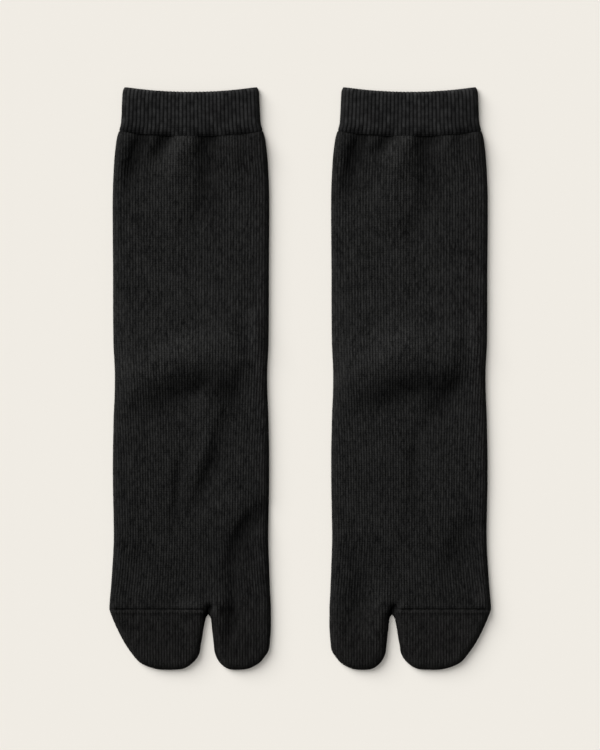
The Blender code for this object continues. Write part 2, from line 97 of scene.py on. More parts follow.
CREASE_HEIGHT = 5.2       # the cloth is pulled down to this where the cuff starts
CREASE_LOW = 3.6          # and this much lower again in its deepest places
CREASE_BELOW = 4.0        # and the leg rises out of the crease over this length
CREASE_START = 0.1        # from this share of it, as the crease's bottom is round
PUFF = 1.5                # how far the leg puffs up below the tight cuff
PUFF_AT = 9.0             # this far below it
PUFF_REACH = 11.0
SAG_REACH = 50.0          # length of leg over which the sagging rows straighten out

HEEL_LIFT = 2.7           # the folded heel lifts the panels by its two layers
HEEL_PUFF = 1.6           # and the upper panel stands up over it by this much more
PUFF_OVER_HEEL = (181.0, 15.0)    # where it stands highest, and how far that reaches
DROP_WIDTH = 8.0          # half the length over which it drops to the instep
LIFT_FALL = (190.0, 232.0)        # it falls again up the leg between these heights
LIFT_LEFT = (33.0, 44.5)          # and towards the sides between these distances
LIFT_RIGHT = (23.0, 38.0)
UNDER_RISE = (156.0, 163.5)       # the lower panel passes on to the heel and off it
UNDER_FALL = (204.5, 214.0)
UNDER_SIDES = (0.845, 0.955)      # and down beside it, in shares of the half width

# Distance between ribs on the upper panel: up, spacing. The leg is knitted looser.
RIB_PITCH = (
    (308, 1.605), (296, 1.62), (285, 1.655), (250, 1.658), (215, 1.647), (190, 1.64),
    (169, 1.606), (146, 1.568), (123, 1.532), (100, 1.52), (77, 1.5), (65, 1.53), (54, 1.56),
    (42, 1.61))

# Flat half widths of the leg and foot: up, little-toe side, big-toe side.
SIDES = (
    (312, 41.3, 41.2), (305, 43, 43), (291, 44.4, 44.4), (272, 45.1, 45.1), (230, 44.9, 44.9),
    (190, 44.7, 44.7), (169, 43.8, 43.9), (140, 44.7, 44.8), (112, 45, 45.1), (75, 44.5, 44.6),
    (57, 45.4, 45.1), (36, 47.1, 46.1))

# Edges of the two toe cups, from the split round the tips to the little toe, and from
# the big toe's outer side round its tip to the split: across, up.
SPLIT_ACROSS = -10.0
POCKET_EDGE = (
    (-9.97, 34.9), (-9.97, 32), (-9.2, 31.2), (-8.6, 30.2), (-8.1, 28.4), (-7.1, 22.8),
    (-5.8, 15), (-4.4, 8.5), (-1, 4), (4, 0.8), (12, 0), (20, 0.5), (29.1, 4), (34.5, 10),
    (38.6, 16.1), (42.2, 23), (45.3, 30), (47.1, 34.9))
BIG_TOE_EDGE = (
    (-46.1, 34.9), (-46.1, 23), (-45.6, 17), (-44.7, 10.9), (-42.4, 7.4), (-39.5, 4),
    (-33.5, 0.8), (-27.8, 0), (-21.5, 0.6), (-16.8, 4), (-14, 9.2), (-13.2, 15), (-12.3, 22.8),
    (-11.8, 28.4), (-11.4, 30.2), (-10.8, 31.2), (-10.03, 32), (-10.03, 34.9))

# Where the upper panel drops from the folded heel to the instep: right, up.
ANKLE_DROP = {
    "right": (
        (-44, 149), (-36, 151.5), (-28, 155), (-20, 158.5), (-10, 163.5), (0, 166), (6, 167.5),
        (12, 166.5), (18, 165), (24, 166.5), (29.5, 170), (36, 173), (44, 175)),
    "left": (
        (-44, 150), (-36, 152), (-27, 156), (-19, 159.5), (-10, 163), (0, 166), (5, 167),
        (11, 166), (18, 166), (25, 169), (30, 172), (36, 174), (44, 176)),
}

# Soft folds of the upper panel. Each has a name, its half widths on the left and on the
# right of its path, its depths from start to end (a ridge is negative), and the path as
# (right, up), walked up the sock or from left to right. Right is the same direction on
# both socks.
FOLDS = {
    "right": {
        "cuff_side": ((3.6, 5.8), (0.5, 2, 3.1, 3.3, 3), (
            (-37.5, 274), (-36.5, 283), (-34.3, 293), (-32.3, 301), (-28, 310))),
        "cuff_short": ((3.8, 4.4), (0.3, 2.8, 3.6, 3.6), (
            (-23, 292.5), (-19.5, 299), (-16.5, 304.5), (-13, 310))),
        "cuff_puff": ((8, 5.5), (-0.4, -1.7, -2.6, -2.2), (
            (-14, 275), (-9, 289), (-5, 298.5), (-1.5, 309))),
        "cuff_long": ((5, 7), (0.6, 1.5, 1.8, 2, 3.4), (
            (-5, 254), (3, 265), (7, 277), (7.5, 291), (7.5, 302), (10.5, 310))),
        "cuff_far": ((3.6, 5), (0, 0.9, 0.5, 1.4), (
            (27, 280), (30, 288), (28.5, 300), (30, 310))),
        "ankle_crest": ((12, 7), (-0.5, -1.8, -2.3, -2, -0.7), (
            (-36, 168), (-20, 174), (-8, 179), (4, 183), (14, 186))),
        "heel_side": ((4, 3), (-0.2, -2.6, -1.4), (
            (37.5, 176), (37.5, 189), (37, 206))),
        "ankle_tongue": ((4.5, 4), (-0.1, -1, -0.9), (
            (3, 144), (7, 155), (13.5, 165))),
        "instep_diagonal": ((3.6, 5.4), (0.6, 2.2, 1.9, 1.3, 0.3), (
            (0, 95), (6, 106), (10.8, 118), (15, 132), (19.5, 148), (26, 160))),
        "instep_crest": ((5, 3.5), (-0.3, -1.1, -0.9, -0.2), (
            (1, 112), (5, 121), (8, 130), (10, 138))),
        "instep_short": ((2.4, 3.6), (0.6, 1.5, 1.6, 0.6), (
            (-12, 82), (-9, 96), (-8, 110), (-6, 123))),
        "ball_diagonal": ((3.6, 7.5), (0.9, 2.1, 2.7, 2.6, 1.5), (
            (19.5, 58), (24, 70), (27.5, 79), (33, 87.5), (41, 94.5))),
        "ball_crest": ((6, 5), (-0.1, -0.9, -0.2), (
            (2, 86), (16, 93), (29, 99))),
        "big_toe_trough": ((4.2, 3.8), (0.3, 1.7, 2.5, 1.3, 0.8), (
            (20, 9), (22.5, 22), (23.7, 34), (23.7, 46), (23, 60))),
        "ball_side": ((6, 6), (0.2, 0.9, 0.2), (
            (-36, 50), (-30, 63), (-34, 80))),
        "split_seam": ((4.5, 3.5), (-0.2, -1.5, -1.9, -0.4), (
            (-9, 34.5), (-1, 36), (5.5, 37), (10, 41))),
        "split_big_toe": ((2.6, 3), (-0.3, -1.5, -0.2), (
            (14.5, 28), (14.5, 37), (16, 45))),
    },
    "left": {
        "cuff_side": ((3.8, 6), (0.4, 1.8, 3.1, 3.3, 3), (
            (-38, 271), (-36, 282), (-34.3, 292), (-32.3, 300.5), (-27.5, 310))),
        "cuff_short": ((3.6, 4.4), (0.2, 2.7, 3.6), (
            (-22, 293.5), (-18.5, 300), (-15, 305), (-11.5, 310))),
        "cuff_puff": ((8, 5.5), (-0.5, -1.5, -2.6, -2.2), (
            (-12, 268), (-9.5, 287), (-5, 298.5), (-1.5, 309))),
        "cuff_long": ((5, 8.5), (1.2, 1.4, 1.5, 2.1, 3.6), (
            (-0.5, 257), (5.5, 266), (8, 277), (8.5, 290), (7, 302), (9.5, 310))),
        "cuff_far": ((3.6, 5), (0, 0.5, 0.8, 1.4), (
            (30, 284), (29.5, 292), (27.5, 302), (29, 310))),
        "ankle_crest": ((14, 7), (-0.4, -1.7, -2.1, -1.7, -0.6), (
            (-34, 170), (-18, 177), (-6, 183), (4, 186), (14, 187))),
        "heel_side": ((4, 3), (-0.2, -2.5, -1.1), (
            (37.5, 174), (37.5, 187), (37, 202))),
        "ankle_tongue": ((4.5, 4), (-0.1, -0.3, -0.1), (
            (2, 148), (7, 157), (12.5, 165))),
        "ankle_second": ((4.6, 6.5), (0.3, 1.2, 0.8, 0.2), (
            (6, 140), (13.5, 150), (21, 159), (28, 167))),
        "instep_short": ((3.6, 5), (0.4, 1.1, 1.2, 0.3), (
            (1, 94), (1, 112), (2, 124), (4, 140))),
        "ball_diagonal": ((6, 9), (0.5, 1.5, 1.4, 0.3), (
            (17.5, 57), (24.5, 69), (30, 80), (37, 93))),
        "big_toe_crown": ((6.5, 4), (-0.2, -1.5, -2.6, -0.6), (
            (-22, 10), (-19, 23), (-17, 35), (-15, 46))),
        "big_toe_side": ((6.5, 5), (0.2, 1.1, 1.2, 0.2), (
            (-34, 18), (-32, 32), (-29, 42), (-31, 58))),
        "split_seam": ((3, 3), (-0.3, -1.4, -0.2), (
            (-5, 30), (-4.5, 36.5), (-3, 43))),
        "toe_far": ((4.5, 3), (-0.1, -0.9, -0.2), (
            (36, 34), (41, 39), (43, 50))),
        "ball_side": ((6, 6), (0.2, 0.7, 0.1), (
            (-34, 44), (-30, 58), (-35, 74))),
    },
}

# How deep the crease under the cuff is drawn: right, share of the full depth.
CREASE_DEPTH = (
    (-42, 0.3), (-33, 0.9), (-29, 0.9), (-24.5, 0.3), (-19, 0.9), (-12.5, 1), (-7.5, 0),
    (1.5, 0), (5, 0.9), (10, 1), (14, 0.6), (18, 0), (23, 0.7), (30, 0.9), (35, 0.5), (42, 0.2))

# The side of a sock that faces away from the light: right, up.
SHADED = (0.74, -0.67)

# Painted shade darkens the yarn in creases and folds, and a painted highlight lightens it over
# ridges.
FULL_DEPTH = 2.6          # a fold as deep as this gets the full painted shade
HIGHLIGHT_LIMIT = -0.5
ANKLE_SHADE = 2.1        # painted shade below the drop from the heel, as for a fold this deep
ANKLE_BELOW = 2.4         # its middle lies this far below the drop's own line
ANKLE_WIDTH = 8.6
ANKLE_LEFT = (-42.0, -8.0)        # it grows in from the left and ends at the right
ANKLE_RIGHT = (25.0, 32.0)
CUFF_LINE_SHADE = (0.45, 0.6)         # painted shade along the cuff: everywhere, and more where it is deep
CUFF_WIDTH = 1.6
PUCKER_SHADE = 1.3
RIDGE_HIGHLIGHT = 0.5
SHADED_EDGE = ((0.85, 1.9), (0.2, 1.0))   # painted shade where an edge turns down away from the light: how far, how wide
# Painted highlight where an edge turns towards the light: how far, how wide.
LIT_EDGE = (0.55, 0.9)
# Painted shade instead on the lit edges between the toes, which face each other.
LIT_BETWEEN_TOES = (-0.38, 2.8)
BETWEEN_TOES = 9.0        # this near the split's line
TOE_FLARE = 6.0           # the cups take on their own round edges over this length


def smooth_value(table, column, at):
    """A table's column at the heights given, on a smooth curve through its rows."""
    rows = np.array(sorted(table))
    places, values = rows[:, 0], rows[:, column]
    before = np.maximum(np.arange(len(rows)) - 1, 0)
    after = np.minimum(np.arange(len(rows)) + 1, len(rows) - 1)
    slopes = (values[after] - values[before]) / (places[after] - places[before])
    at = np.clip(at, places[0], places[-1])
    low = np.clip(np.searchsorted(places, at, side="right") - 1, 0, len(rows) - 2)
    span = places[low + 1] - places[low]
    t = (at - places[low]) / span
    return (values[low] * (2 * t**3 - 3 * t**2 + 1)
            + slopes[low] * span * (t**3 - 2 * t**2 + t)
            + values[low + 1] * (3 * t**2 - 2 * t**3)
            + slopes[low + 1] * span * (t**3 - t**2))


def smooth_path(points, steps=8):
    """A centripetal Catmull-Rom curve through the points."""
    knots = np.array(points, float)
    knots = np.vstack([2 * knots[0] - knots[1], knots, 2 * knots[-1] - knots[-2]])
    path = []
    for a, b, c, d in zip(knots, knots[1:], knots[2:], knots[3:]):
        t1 = math.sqrt(np.linalg.norm(b - a))
        t2 = t1 + math.sqrt(np.linalg.norm(c - b))
        t3 = t2 + math.sqrt(np.linalg.norm(d - c))
        for t in t1 + (t2 - t1) * np.arange(steps) / steps:
            ab = a + (b - a) * t / t1
            bc = b + (c - b) * (t - t1) / (t2 - t1)
            cd = c + (d - c) * (t - t2) / (t3 - t2)
            abc = ab + (bc - ab) * t / t2
            bcd = bc + (cd - bc) * (t - t1) / (t3 - t1)
            path.append(abc + (bcd - abc) * (t - t1) / (t2 - t1))
    return np.array(path + [knots[-2]])


def nearest_on_path(points, path):
    """Distance from each point to a path, how far along the path its foot lies, and
    whether the point is on the left of someone who walks along it."""
    best = np.full(points.shape[:-1], np.inf)
    progress = np.zeros(points.shape[:-1])
    on_left = np.zeros(points.shape[:-1], bool)
    lengths = np.linalg.norm(np.diff(path, axis=0), axis=1)
    starts = np.concatenate([[0.0], np.cumsum(lengths)])
    for a, b, start, length in zip(path, path[1:], starts, lengths):
        off, run = points - a, b - a
        t = np.clip(off @ run / length**2, 0.0, 1.0)
        away = np.linalg.norm(off - t[..., None] * run, axis=-1)
        nearer = away < best
        progress = np.where(nearer, (start + t * length) / starts[-1], progress)
        on_left = np.where(nearer, run[0] * off[..., 1] > run[1] * off[..., 0], on_left)
        best = np.minimum(away, best)
    return best, progress, on_left


def ramp(at, start, end):
    """0 before start, 1 after end, with a smooth rise between."""
    t = np.clip((at - start) / (end - start), 0.0, 1.0)
    return t * t * (3 - 2 * t)


def slope(at, start, end):
    """0 before start, 1 after end, with a straight rise between."""
    return np.clip((at - start) / (end - start), 0.0, 1.0)


def rounded(at, reach):
    """0 at the bottom of a crease and 1 from reach on, rising as a quarter round."""
    t = np.clip(at / reach, 0.0, 1.0)
    return np.sqrt(1 - (1 - t) ** 2)


def bell(away, width):
    """1 where away is nothing, falling to both sides on a bell curve."""
    return np.exp(-(away / width) ** 2)


def round_down(full, inward):
    """A panel's height where it rounds down to the folded edge."""
    return EDGE_MID + (full - EDGE_MID) * rounded(inward, EDGE_REACH)


def sole_height(inward):
    """Height of the lower panel, which turns up to the folded edge."""
    return UNDER_RELIEF + (EDGE_MID - UNDER_RELIEF) * (1 - rounded(inward, UNDER_REACH))


def crown(inward):
    """How much further the panels part away from the folded edge."""
    return CROWN * (1 - np.exp(-inward / CROWN_REACH))


def up_of(y):
    """A place along the frame's Y as millimetres up from the toe tips."""
    return (y - cad_low.y) / MM


leg_low, leg_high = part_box("right_leg_foot")
CUFF_BASE = up_of(leg_high.y) + SEAM_GAP
CUFF_SAG = CUFF_BASE - up_of(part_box("right_cuff")[0].y)
TOE_SEAM = (up_of(leg_low.y) + up_of(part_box("right_toe_pocket")[1].y)) / 2

SEAM_GROOVE = 1.1         # depth of the groove along the linked toe seam
GROOVE_WIDTH = 0.8
SEAM_RIDGE = 0.9          # height of the seam's roll of loops beside it
RIDGE_BELOW = 1.35        # it lies this far towards the toes
RIDGE_WIDTH = 0.8
POCKET_STARTS = (1.0, 3.5)        # both rise between these distances from the split
SPLIT_ABOVE = 0.5         # the split pulls a pucker in this far above the toe seam
SPLIT_BELOW = 3.0
PUCKER_DEPTH = 2.8
PUCKER_WIDTH = 2.0
PUCKER_LEAN = (1.1, 0.8)  # its ends lie this far left and right, and the right one higher
SPLIT_END = np.array([(SPLIT_ACROSS, TOE_SEAM - SPLIT_BELOW),
                      (SPLIT_ACROSS, TOE_SEAM + SPLIT_ABOVE)])


class Sock:
    """Shape of one sock: side is -1 where its little toe points to -X, 1 for +X."""

    def __init__(self, name):
        heel_low, heel_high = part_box(f"{name}_heel_pocket")
        self.name = name
        self.centre = (heel_low.x + heel_high.x) / 2 / MM
        self.side = math.copysign(1, self.centre)
        self.ankle_drop = smooth_path(ANKLE_DROP[name])
        self.folds = [(widths, depths, smooth_path(path))
                      for widths, depths, path in FOLDS[name].values()]
        self.toe_edges = [smooth_path(POCKET_EDGE), smooth_path(BIG_TOE_EDGE)]

    def sides(self, up):
        """Half widths on the little-toe and on the big-toe side."""
        return smooth_value(SIDES, 1, up) - DRAW_IN, smooth_value(SIDES, 2, up) - DRAW_IN

    def place(self, across, up, z):
        """Points in metres in the frame."""
        x = self.centre + self.side * across
        y = up + cad_low.y / MM
        return np.stack(np.broadcast_arrays(x, y, z), axis=-1) * MM

    def seen(self, across, up):
        """The same places as (right, up)."""
        return np.stack([self.side * across, up], axis=-1)

    def cuff_line(self, across):
        """How far up the crease between leg and cuff lies, at a place across."""
        half = smooth_value(SIDES, 1, CUFF_BASE)
        return CUFF_BASE - CUFF_SAG * (1 - np.clip(np.abs(across) / half, 0, 1) ** 2)

    def folded(self, across, up):
        """How far the folds sink the upper panel."""
        points = self.seen(across, up)
        depth = np.zeros(points.shape[:-1])
        for (left, right), depths, path in self.folds:
            away, along, on_left = nearest_on_path(points, path)
            here = np.interp(along, np.linspace(0, 1, len(depths)), depths)
            depth += here * bell(away, np.where(on_left, left, right))
        return depth

    def above_ankle(self, across, up):
        """Distance above the line where the upper panel drops from the folded heel."""
        away, _, above = nearest_on_path(self.seen(across, up), self.ankle_drop)
        return np.where(above, away, -away)

    def heel_lift(self, across, up):
        """How far the folded heel lifts the upper panel, which drops again at the ankle."""
        rise = ramp(self.above_ankle(across, up), -DROP_WIDTH, DROP_WIDTH)
        middle, reach = PUFF_OVER_HEEL
        lift = HEEL_LIFT + HEEL_PUFF * bell(up - middle, reach)
        right = self.side * across
        lift = lift * (1 - ramp(-right, *LIFT_LEFT)) * (1 - ramp(right, *LIFT_RIGHT))
        return lift * rise * (1 - ramp(up, *LIFT_FALL))

    def painted_shading(self, across, up):
        """Painted shade in folds and on shaded edges, and painted highlight where negative."""
        right = self.side * across
        ankle = bell(self.above_ankle(across, up) + ANKLE_BELOW, ANKLE_WIDTH)
        ankle = ankle * ramp(right, *ANKLE_LEFT) * (1 - ramp(right, *ANKLE_RIGHT))
        least, more = CUFF_LINE_SHADE
        cuff = least + more * smooth_value(CREASE_DEPTH, 1, right)
        cuff = cuff * bell(self.cuff_line(across) - up, CUFF_WIDTH)
        depth = self.folded(across, up) + ANKLE_SHADE * ankle + cuff
        return (np.clip(depth / FULL_DEPTH, HIGHLIGHT_LIMIT, 1.0)
                + PUCKER_SHADE * self.pucker(across, up)
                - RIDGE_HIGHLIGHT * self.ridge(across, up) + self.turned(across, up))

    def turned(self, across, up):
        """Painted shade on an edge's shaded side, and painted highlight on its lit side."""
        edge = self.from_edge(across, up)
        step = 0.4
        step_across, step_up = step * self.side * SHADED[0], step * SHADED[1]
        facing = (self.from_edge(across - step_across, up - step_up)
                  - self.from_edge(across + step_across, up + step_up)) / step
        facing = np.clip(facing, -1.0, 1.0)
        shaded = sum(share * bell(edge, width) for share, width in SHADED_EDGE)
        lit = LIT_EDGE[0] * bell(edge, LIT_EDGE[1])
        on_toes = ramp(TOE_SEAM - up, 0.0, TOE_FLARE)
        on_toes = on_toes * (np.abs(across - SPLIT_ACROSS) < BETWEEN_TOES)
        lit = lit + (LIT_BETWEEN_TOES[0] * bell(edge, LIT_BETWEEN_TOES[1]) - lit) * on_toes
        return np.where(facing > 0, shaded, lit) * facing

    def from_edge(self, across, up):
        """Distance to the nearest side fold, toe edge or the end of the toe split."""
        points = np.stack([across, up], axis=-1)
        little, big = self.sides(up)
        split = nearest_on_path(points, SPLIT_END)[0]
        above = np.minimum(np.minimum(little - across, big + across), split)
        pocket = nearest_on_path(points, self.toe_edges[0])[0]
        big_toe = nearest_on_path(points, self.toe_edges[1])[0]
        below = np.where(across > SPLIT_ACROSS, pocket, big_toe) - DRAW_IN
        return np.maximum(np.where(up < TOE_SEAM, below, above), 0.0)

    def top(self, across, up):
        """Height of the upper panel's outer face, at the bottom of its ribs."""
        inward = self.from_edge(across, up)
        room = EDGE_GAP + crown(inward) + self.heel_lift(across, up)
        below = self.cuff_line(across) - up
        room += PUFF * bell(below - PUFF_AT, PUFF_REACH)
        room -= self.folded(across, up)
        room -= SEAM_GROOVE * self.groove(across, up) - SEAM_RIDGE * self.ridge(across, up)
        room -= PUCKER_DEPTH * self.pucker(across, up)
        under = self.under(across, up)
        full = 2 * LEG_WALL + np.maximum(room, under + MIN_GAP)
        return self.out_of_crease(round_down(full, inward), across, below, CREASE_BELOW)

    def out_of_crease(self, top, across, away, length):
        """A panel's height as it rises from the crease between leg and cuff."""
        share = smooth_value(CREASE_DEPTH, 1, self.side * across)
        crease = np.minimum(CREASE_HEIGHT - CREASE_LOW * share, top)
        return crease + (top - crease) * rounded(away + CREASE_START * length, length)

    def on_pocket(self, across):
        """1 over the four-toe pocket and 0 over the big toe, which has no seam."""
        start, end = POCKET_STARTS
        return ramp(across, SPLIT_ACROSS + start, SPLIT_ACROSS + end)

    def groove(self, across, up):
        """The groove of the linked toe seam."""
        return self.on_pocket(across) * bell(up - TOE_SEAM, GROOVE_WIDTH)

    def ridge(self, across, up):
        """The seam's roll of cut loops, pressed towards the toes."""
        return self.on_pocket(across) * bell(up - TOE_SEAM + RIDGE_BELOW, RIDGE_WIDTH)

    def pucker(self, across, up):
        """The pucker where the split between the toes ends."""
        slit = SPLIT_END + [((self.side - 1) * SPLIT_ACROSS, 0.0)]
        slit = slit + [(-PUCKER_LEAN[0], 0.0), PUCKER_LEAN]
        return bell(nearest_on_path(self.seen(across, up), slit)[0], PUCKER_WIDTH)

    def under(self, across, up):
        """How far the underside is lifted where it passes over the folded heel."""
        along = np.minimum(slope(up, *UNDER_RISE), 1 - slope(up, *UNDER_FALL))
        share = np.abs(across) / smooth_value(SIDES, 1, up)
        return HEEL_LIFT * along * (1 - slope(share, *UNDER_SIDES))


class Shell:
    """Points, faces and knit coordinates of one knitted piece, gathered grid by grid."""

    def __init__(self):
        self.points, self.knit, self.quads, self.caps = [], [], [], []
        self.count = 0

    def grid(self, points, wale, course, ribbed, painted_shading=0.0):
        """Store a grid of points, and return their numbers as an array."""
        shape = points.shape[:2]
        self.points.append(points.reshape(-1, 3))
        self.knit.append(np.stack([np.broadcast_to(value, shape).ravel()
                                   for value in (wale, course, ribbed, painted_shading)], axis=-1))
        numbers = self.count + np.arange(shape[0] * shape[1]).reshape(shape)
        self.count += numbers.size
        return numbers

    def skin(self, numbers, closed=False):
        """Quads over a grid of point numbers; closed joins its last column to its first."""
        if closed:
            numbers = np.hstack([numbers, numbers[:, :1]])
        self.quads.append(np.stack([numbers[:-1, :-1], numbers[:-1, 1:], numbers[1:, 1:],
                                    numbers[1:, :-1]], axis=-1).reshape(-1, 4))

    def wall(self, outside, inside):
        """A wall between two grids, closed along their first and last rows."""
        self.skin(outside)
        self.skin(inside[::-1])
        self.skin(np.vstack([inside[:1], outside[:1]]))
        self.skin(np.vstack([outside[-1:], inside[-1:]]))

    def mesh(self, name):
        """The finished mesh, closed where its grids meet."""
        quads = np.vstack(self.quads)
        knit = np.vstack(self.knit)
        mesh = bpy.data.meshes.new(name)
        mesh.from_pydata(np.vstack(self.points), [], quads.tolist() + self.caps)
        # The last attribute holds the painted shade, and painted highlight where negative.
        for column, title in enumerate(("wale", "course", "ribbed", "painted_shading")):
            layer = mesh.attributes.new(title, "FLOAT", "POINT")
            layer.data.foreach_set("value", knit[:, column])
        corners = np.concatenate([quads.ravel(), *self.caps]).astype(int)
        layer = mesh.uv_layers.new(name="knit")
        layer.uv.foreach_set("vector", knit[corners, :2].ravel())
        bm = bmesh.new()
        bm.from_mesh(mesh)
        bmesh.ops.remove_doubles(bm, verts=bm.verts, dist=0.002 * MM)
        bmesh.ops.recalc_face_normals(bm, faces=bm.faces)
        bm.to_mesh(mesh)
        bm.free()
        return mesh


class Signal:
    """A node's output. Arithmetic on it adds Math nodes, and node() adds any other."""

    def __init__(self, tree, socket=None):
        self.tree = tree
        self.socket = socket

    def node(self, kind, settings=None, inputs=None, output=0):
        """Add a node: its settings first, then the values or links of its sockets."""
        made = self.tree.nodes.new(kind)
        for key, value in (settings or {}).items():
            setattr(made, key, value)
        for key, value in (inputs or {}).items():
            if isinstance(value, Signal):
                self.tree.links.new(value.socket, made.inputs[key])
            else:
                made.inputs[key].default_value = value
        return Signal(self.tree, made.outputs[output]) if made.outputs else made

    def math(self, operation, first, second=0.0):
        return self.node("ShaderNodeMath", {"operation": operation}, {0: first, 1: second})

    def __add__(self, other):
        return self.math("ADD", self, other)

    def __sub__(self, other):
        return self.math("SUBTRACT", self, other)

    def __rsub__(self, other):
        return self.math("SUBTRACT", other, self)

    def __mul__(self, other):
        return self.math("MULTIPLY", self, other)

    def __pow__(self, other):
        return self.math("POWER", self, other)

    __radd__ = __add__
    __rmul__ = __mul__

    def between(self, first, second, share):
        """A mix of two colours."""
        return self.node("ShaderNodeMix", {"data_type": "RGBA", "clamp_factor": True},
                         {0: share, 6: (*first, 1.0), 7: (*second, 1.0)}, output=2)

    def noise(self, scale, detail, roughness=0.5, flat=False):
        """Noise on these coordinates, or on the first two of them where flat."""
        return self.node("ShaderNodeTexNoise", {"noise_dimensions": "2D" if flat else "3D"}, {
            "Vector": self, "Scale": scale, "Detail": detail, "Roughness": roughness})


STITCH_LEAN = 0.42        # the two legs of a stitch rise by this much towards its middle
RIB_FLAT = 0.3            # a rib's painted crest highlight keeps this share where it lies flat
MIDDLE_TONE = 0.43        # from the shade, 0, to the lit yarn, 1
STITCH_TONE = 0.2         # what the stitches add to it, either way: painted highlight on them, painted shade between
MOTTLE_TONE = 0.85        # what patches along the yarn add
GRAIN_TONE = 1.1          # what single fibres add
CLOUD_TONE = 0.34         # what wide patches add
# How far the painted shade darkens the yarn.
PAINTED_SHADING_STRENGTH = 0.62
STITCH_DEPTH = 0.16


def cotton(name):
    """A new material and what its nodes start from, with the yarn's fine hairs."""
    material = bpy.data.materials.new(name)
    material.use_nodes = True
    material.node_tree.nodes.clear()
    base = Signal(material.node_tree)
    place = base.node("ShaderNodeTexCoord", output="Object")
    return material, base, place, place.noise(2600.0, 3.0, 0.65)


def finish_cotton(base, fibres, colour, relief, depth):
    """Matt cotton with this colour and relief over it."""
    bump = base.node("ShaderNodeBump", inputs={
        "Height": relief, "Strength": 1.0, "Distance": depth * MM})
    shader = base.node("ShaderNodeBsdfPrincipled", inputs={
        "Base Color": colour, "Normal": bump, "Roughness": 0.82 + fibres * 0.15,
        "Specular IOR Level": 0.03})
    base.node("ShaderNodeOutputMaterial", inputs={"Surface": shader})


def knit_material(name, shade, lit, ribs, toe_shade=1.0):
    """Matt black cotton yarn in columns of V stitches, on the knit coordinates.

    shade and lit are the colours of painted shade between the ribs and stitches and of a
    painted highlight on top of them. ribs holds how narrow a rib's painted crest highlight is,
    how bright it is, how much that varies along it, and how uneven the yarn is. toe_shade makes
    the foot darker towards the toes.
    """
    narrow, crest_highlight, streaky, uneven = ribs
    material, base, place, fibres = cotton(name)
    knit = base.node("ShaderNodeUVMap", {"uv_map": "knit"})
    wale = base.node("ShaderNodeSeparateXYZ", inputs={0: knit}, output="X")
    course = base.node("ShaderNodeSeparateXYZ", inputs={0: knit}, output="Y")

    waver = knit.noise(0.35, 1.0, flat=True)
    within = base.math("FRACT", wale + (waver - 0.5) * 0.3)
    off_crest = base.math("ABSOLUTE", within - 0.5) * 2
    strand = course + off_crest * STITCH_LEAN + knit.noise(0.9, 1.0, flat=True) * 0.5
    strand = base.math("SINE", strand * math.tau)
    between_legs = base.math("SINE", off_crest * math.pi)
    stitch = strand * between_legs * 0.5 + 0.5

    grain = place.noise(1250.0, 2.0, 0.7)
    drawn_out = base.node("ShaderNodeVectorMath", {"operation": "MULTIPLY"},
                          {0: place, 1: (640.0, 200.0, 640.0)})
    mottle = drawn_out.noise(1.0, 3.0, 0.6)
    cloud = place.noise(75.0, 2.0, 0.55)
    along_rib = base.node("ShaderNodeCombineXYZ", inputs={
        0: base.math("FLOOR", wale) * 7.31, 1: course * 0.24})
    streak = base.node("ShaderNodeMapRange", inputs={
        "Value": along_rib.noise(1.0, 2.0, 0.6, flat=True), "From Min": 0.27, "From Max": 0.73})

    # Painted highlight on each rib's crest and painted shade in its grooves, weaker where the
    # ribs lie flat.
    ribbed = base.node("ShaderNodeAttribute", {"attribute_name": "ribbed"}, output="Fac")
    usual = 1 / (1 + narrow)
    crest = ((1 - off_crest) ** narrow - usual) * (ribbed * (1 - RIB_FLAT) + RIB_FLAT)
    crest = crest * (streak * streaky + (crest_highlight - streaky / 2))
    yarn = ((mottle - 0.5) * MOTTLE_TONE + (grain - 0.5) * GRAIN_TONE
            + (cloud - 0.5) * CLOUD_TONE)
    tone = (crest + (streak - 0.5) * usual * streaky + (stitch - 0.5) * STITCH_TONE
            + MIDDLE_TONE + yarn * uneven)
    along_foot = base.node("ShaderNodeMapRange", {"interpolation_type": "SMOOTHSTEP"}, {
        "Value": base.node("ShaderNodeSeparateXYZ", inputs={0: place}, output="Y"),
        "From Min": -0.15, "From Max": 0.02, "To Min": toe_shade, "To Max": 1.0})
    # Painted shade in folds and on shaded edges, painted highlight where negative.
    painted_shading = base.node("ShaderNodeAttribute", {"attribute_name": "painted_shading"}, output="Fac")
    colour = base.node("ShaderNodeVectorMath", {"operation": "SCALE"}, {
        0: base.between(shade, lit, tone),
        "Scale": along_foot * (1 - painted_shading * PAINTED_SHADING_STRENGTH)})
    finish_cotton(base, fibres, colour, stitch + fibres * 0.55, STITCH_DEPTH)
    return material


def new_tree(name, sizes):
    """A geometry node tree with named inputs: geometry first, then (name, kind, value)."""
    tree = bpy.data.node_groups.new(name, "GeometryNodeTree")
    tree.interface.new_socket("Geometry", in_out="INPUT", socket_type="NodeSocketGeometry")
    for title, kind, value in sizes:
        socket = tree.interface.new_socket(title, in_out="INPUT",
                                           socket_type=f"NodeSocket{kind}")
        if value is not None:
            socket.default_value = value
    tree.interface.new_socket("Geometry", in_out="OUTPUT", socket_type="NodeSocketGeometry")
    inside = tree.nodes.new("NodeGroupInput")
    return Signal(tree), lambda title: Signal(tree, inside.outputs[title])


def close_tree(base, geometry, given):
    """End a tree by realizing its instances and setting the material."""
    real = base.node("GeometryNodeRealizeInstances", inputs={0: geometry})
    painted = base.node("GeometryNodeSetMaterial", inputs={
        "Geometry": real, "Material": given("Material")})
    base.node("NodeGroupOutput", inputs={0: painted})
    return base.tree


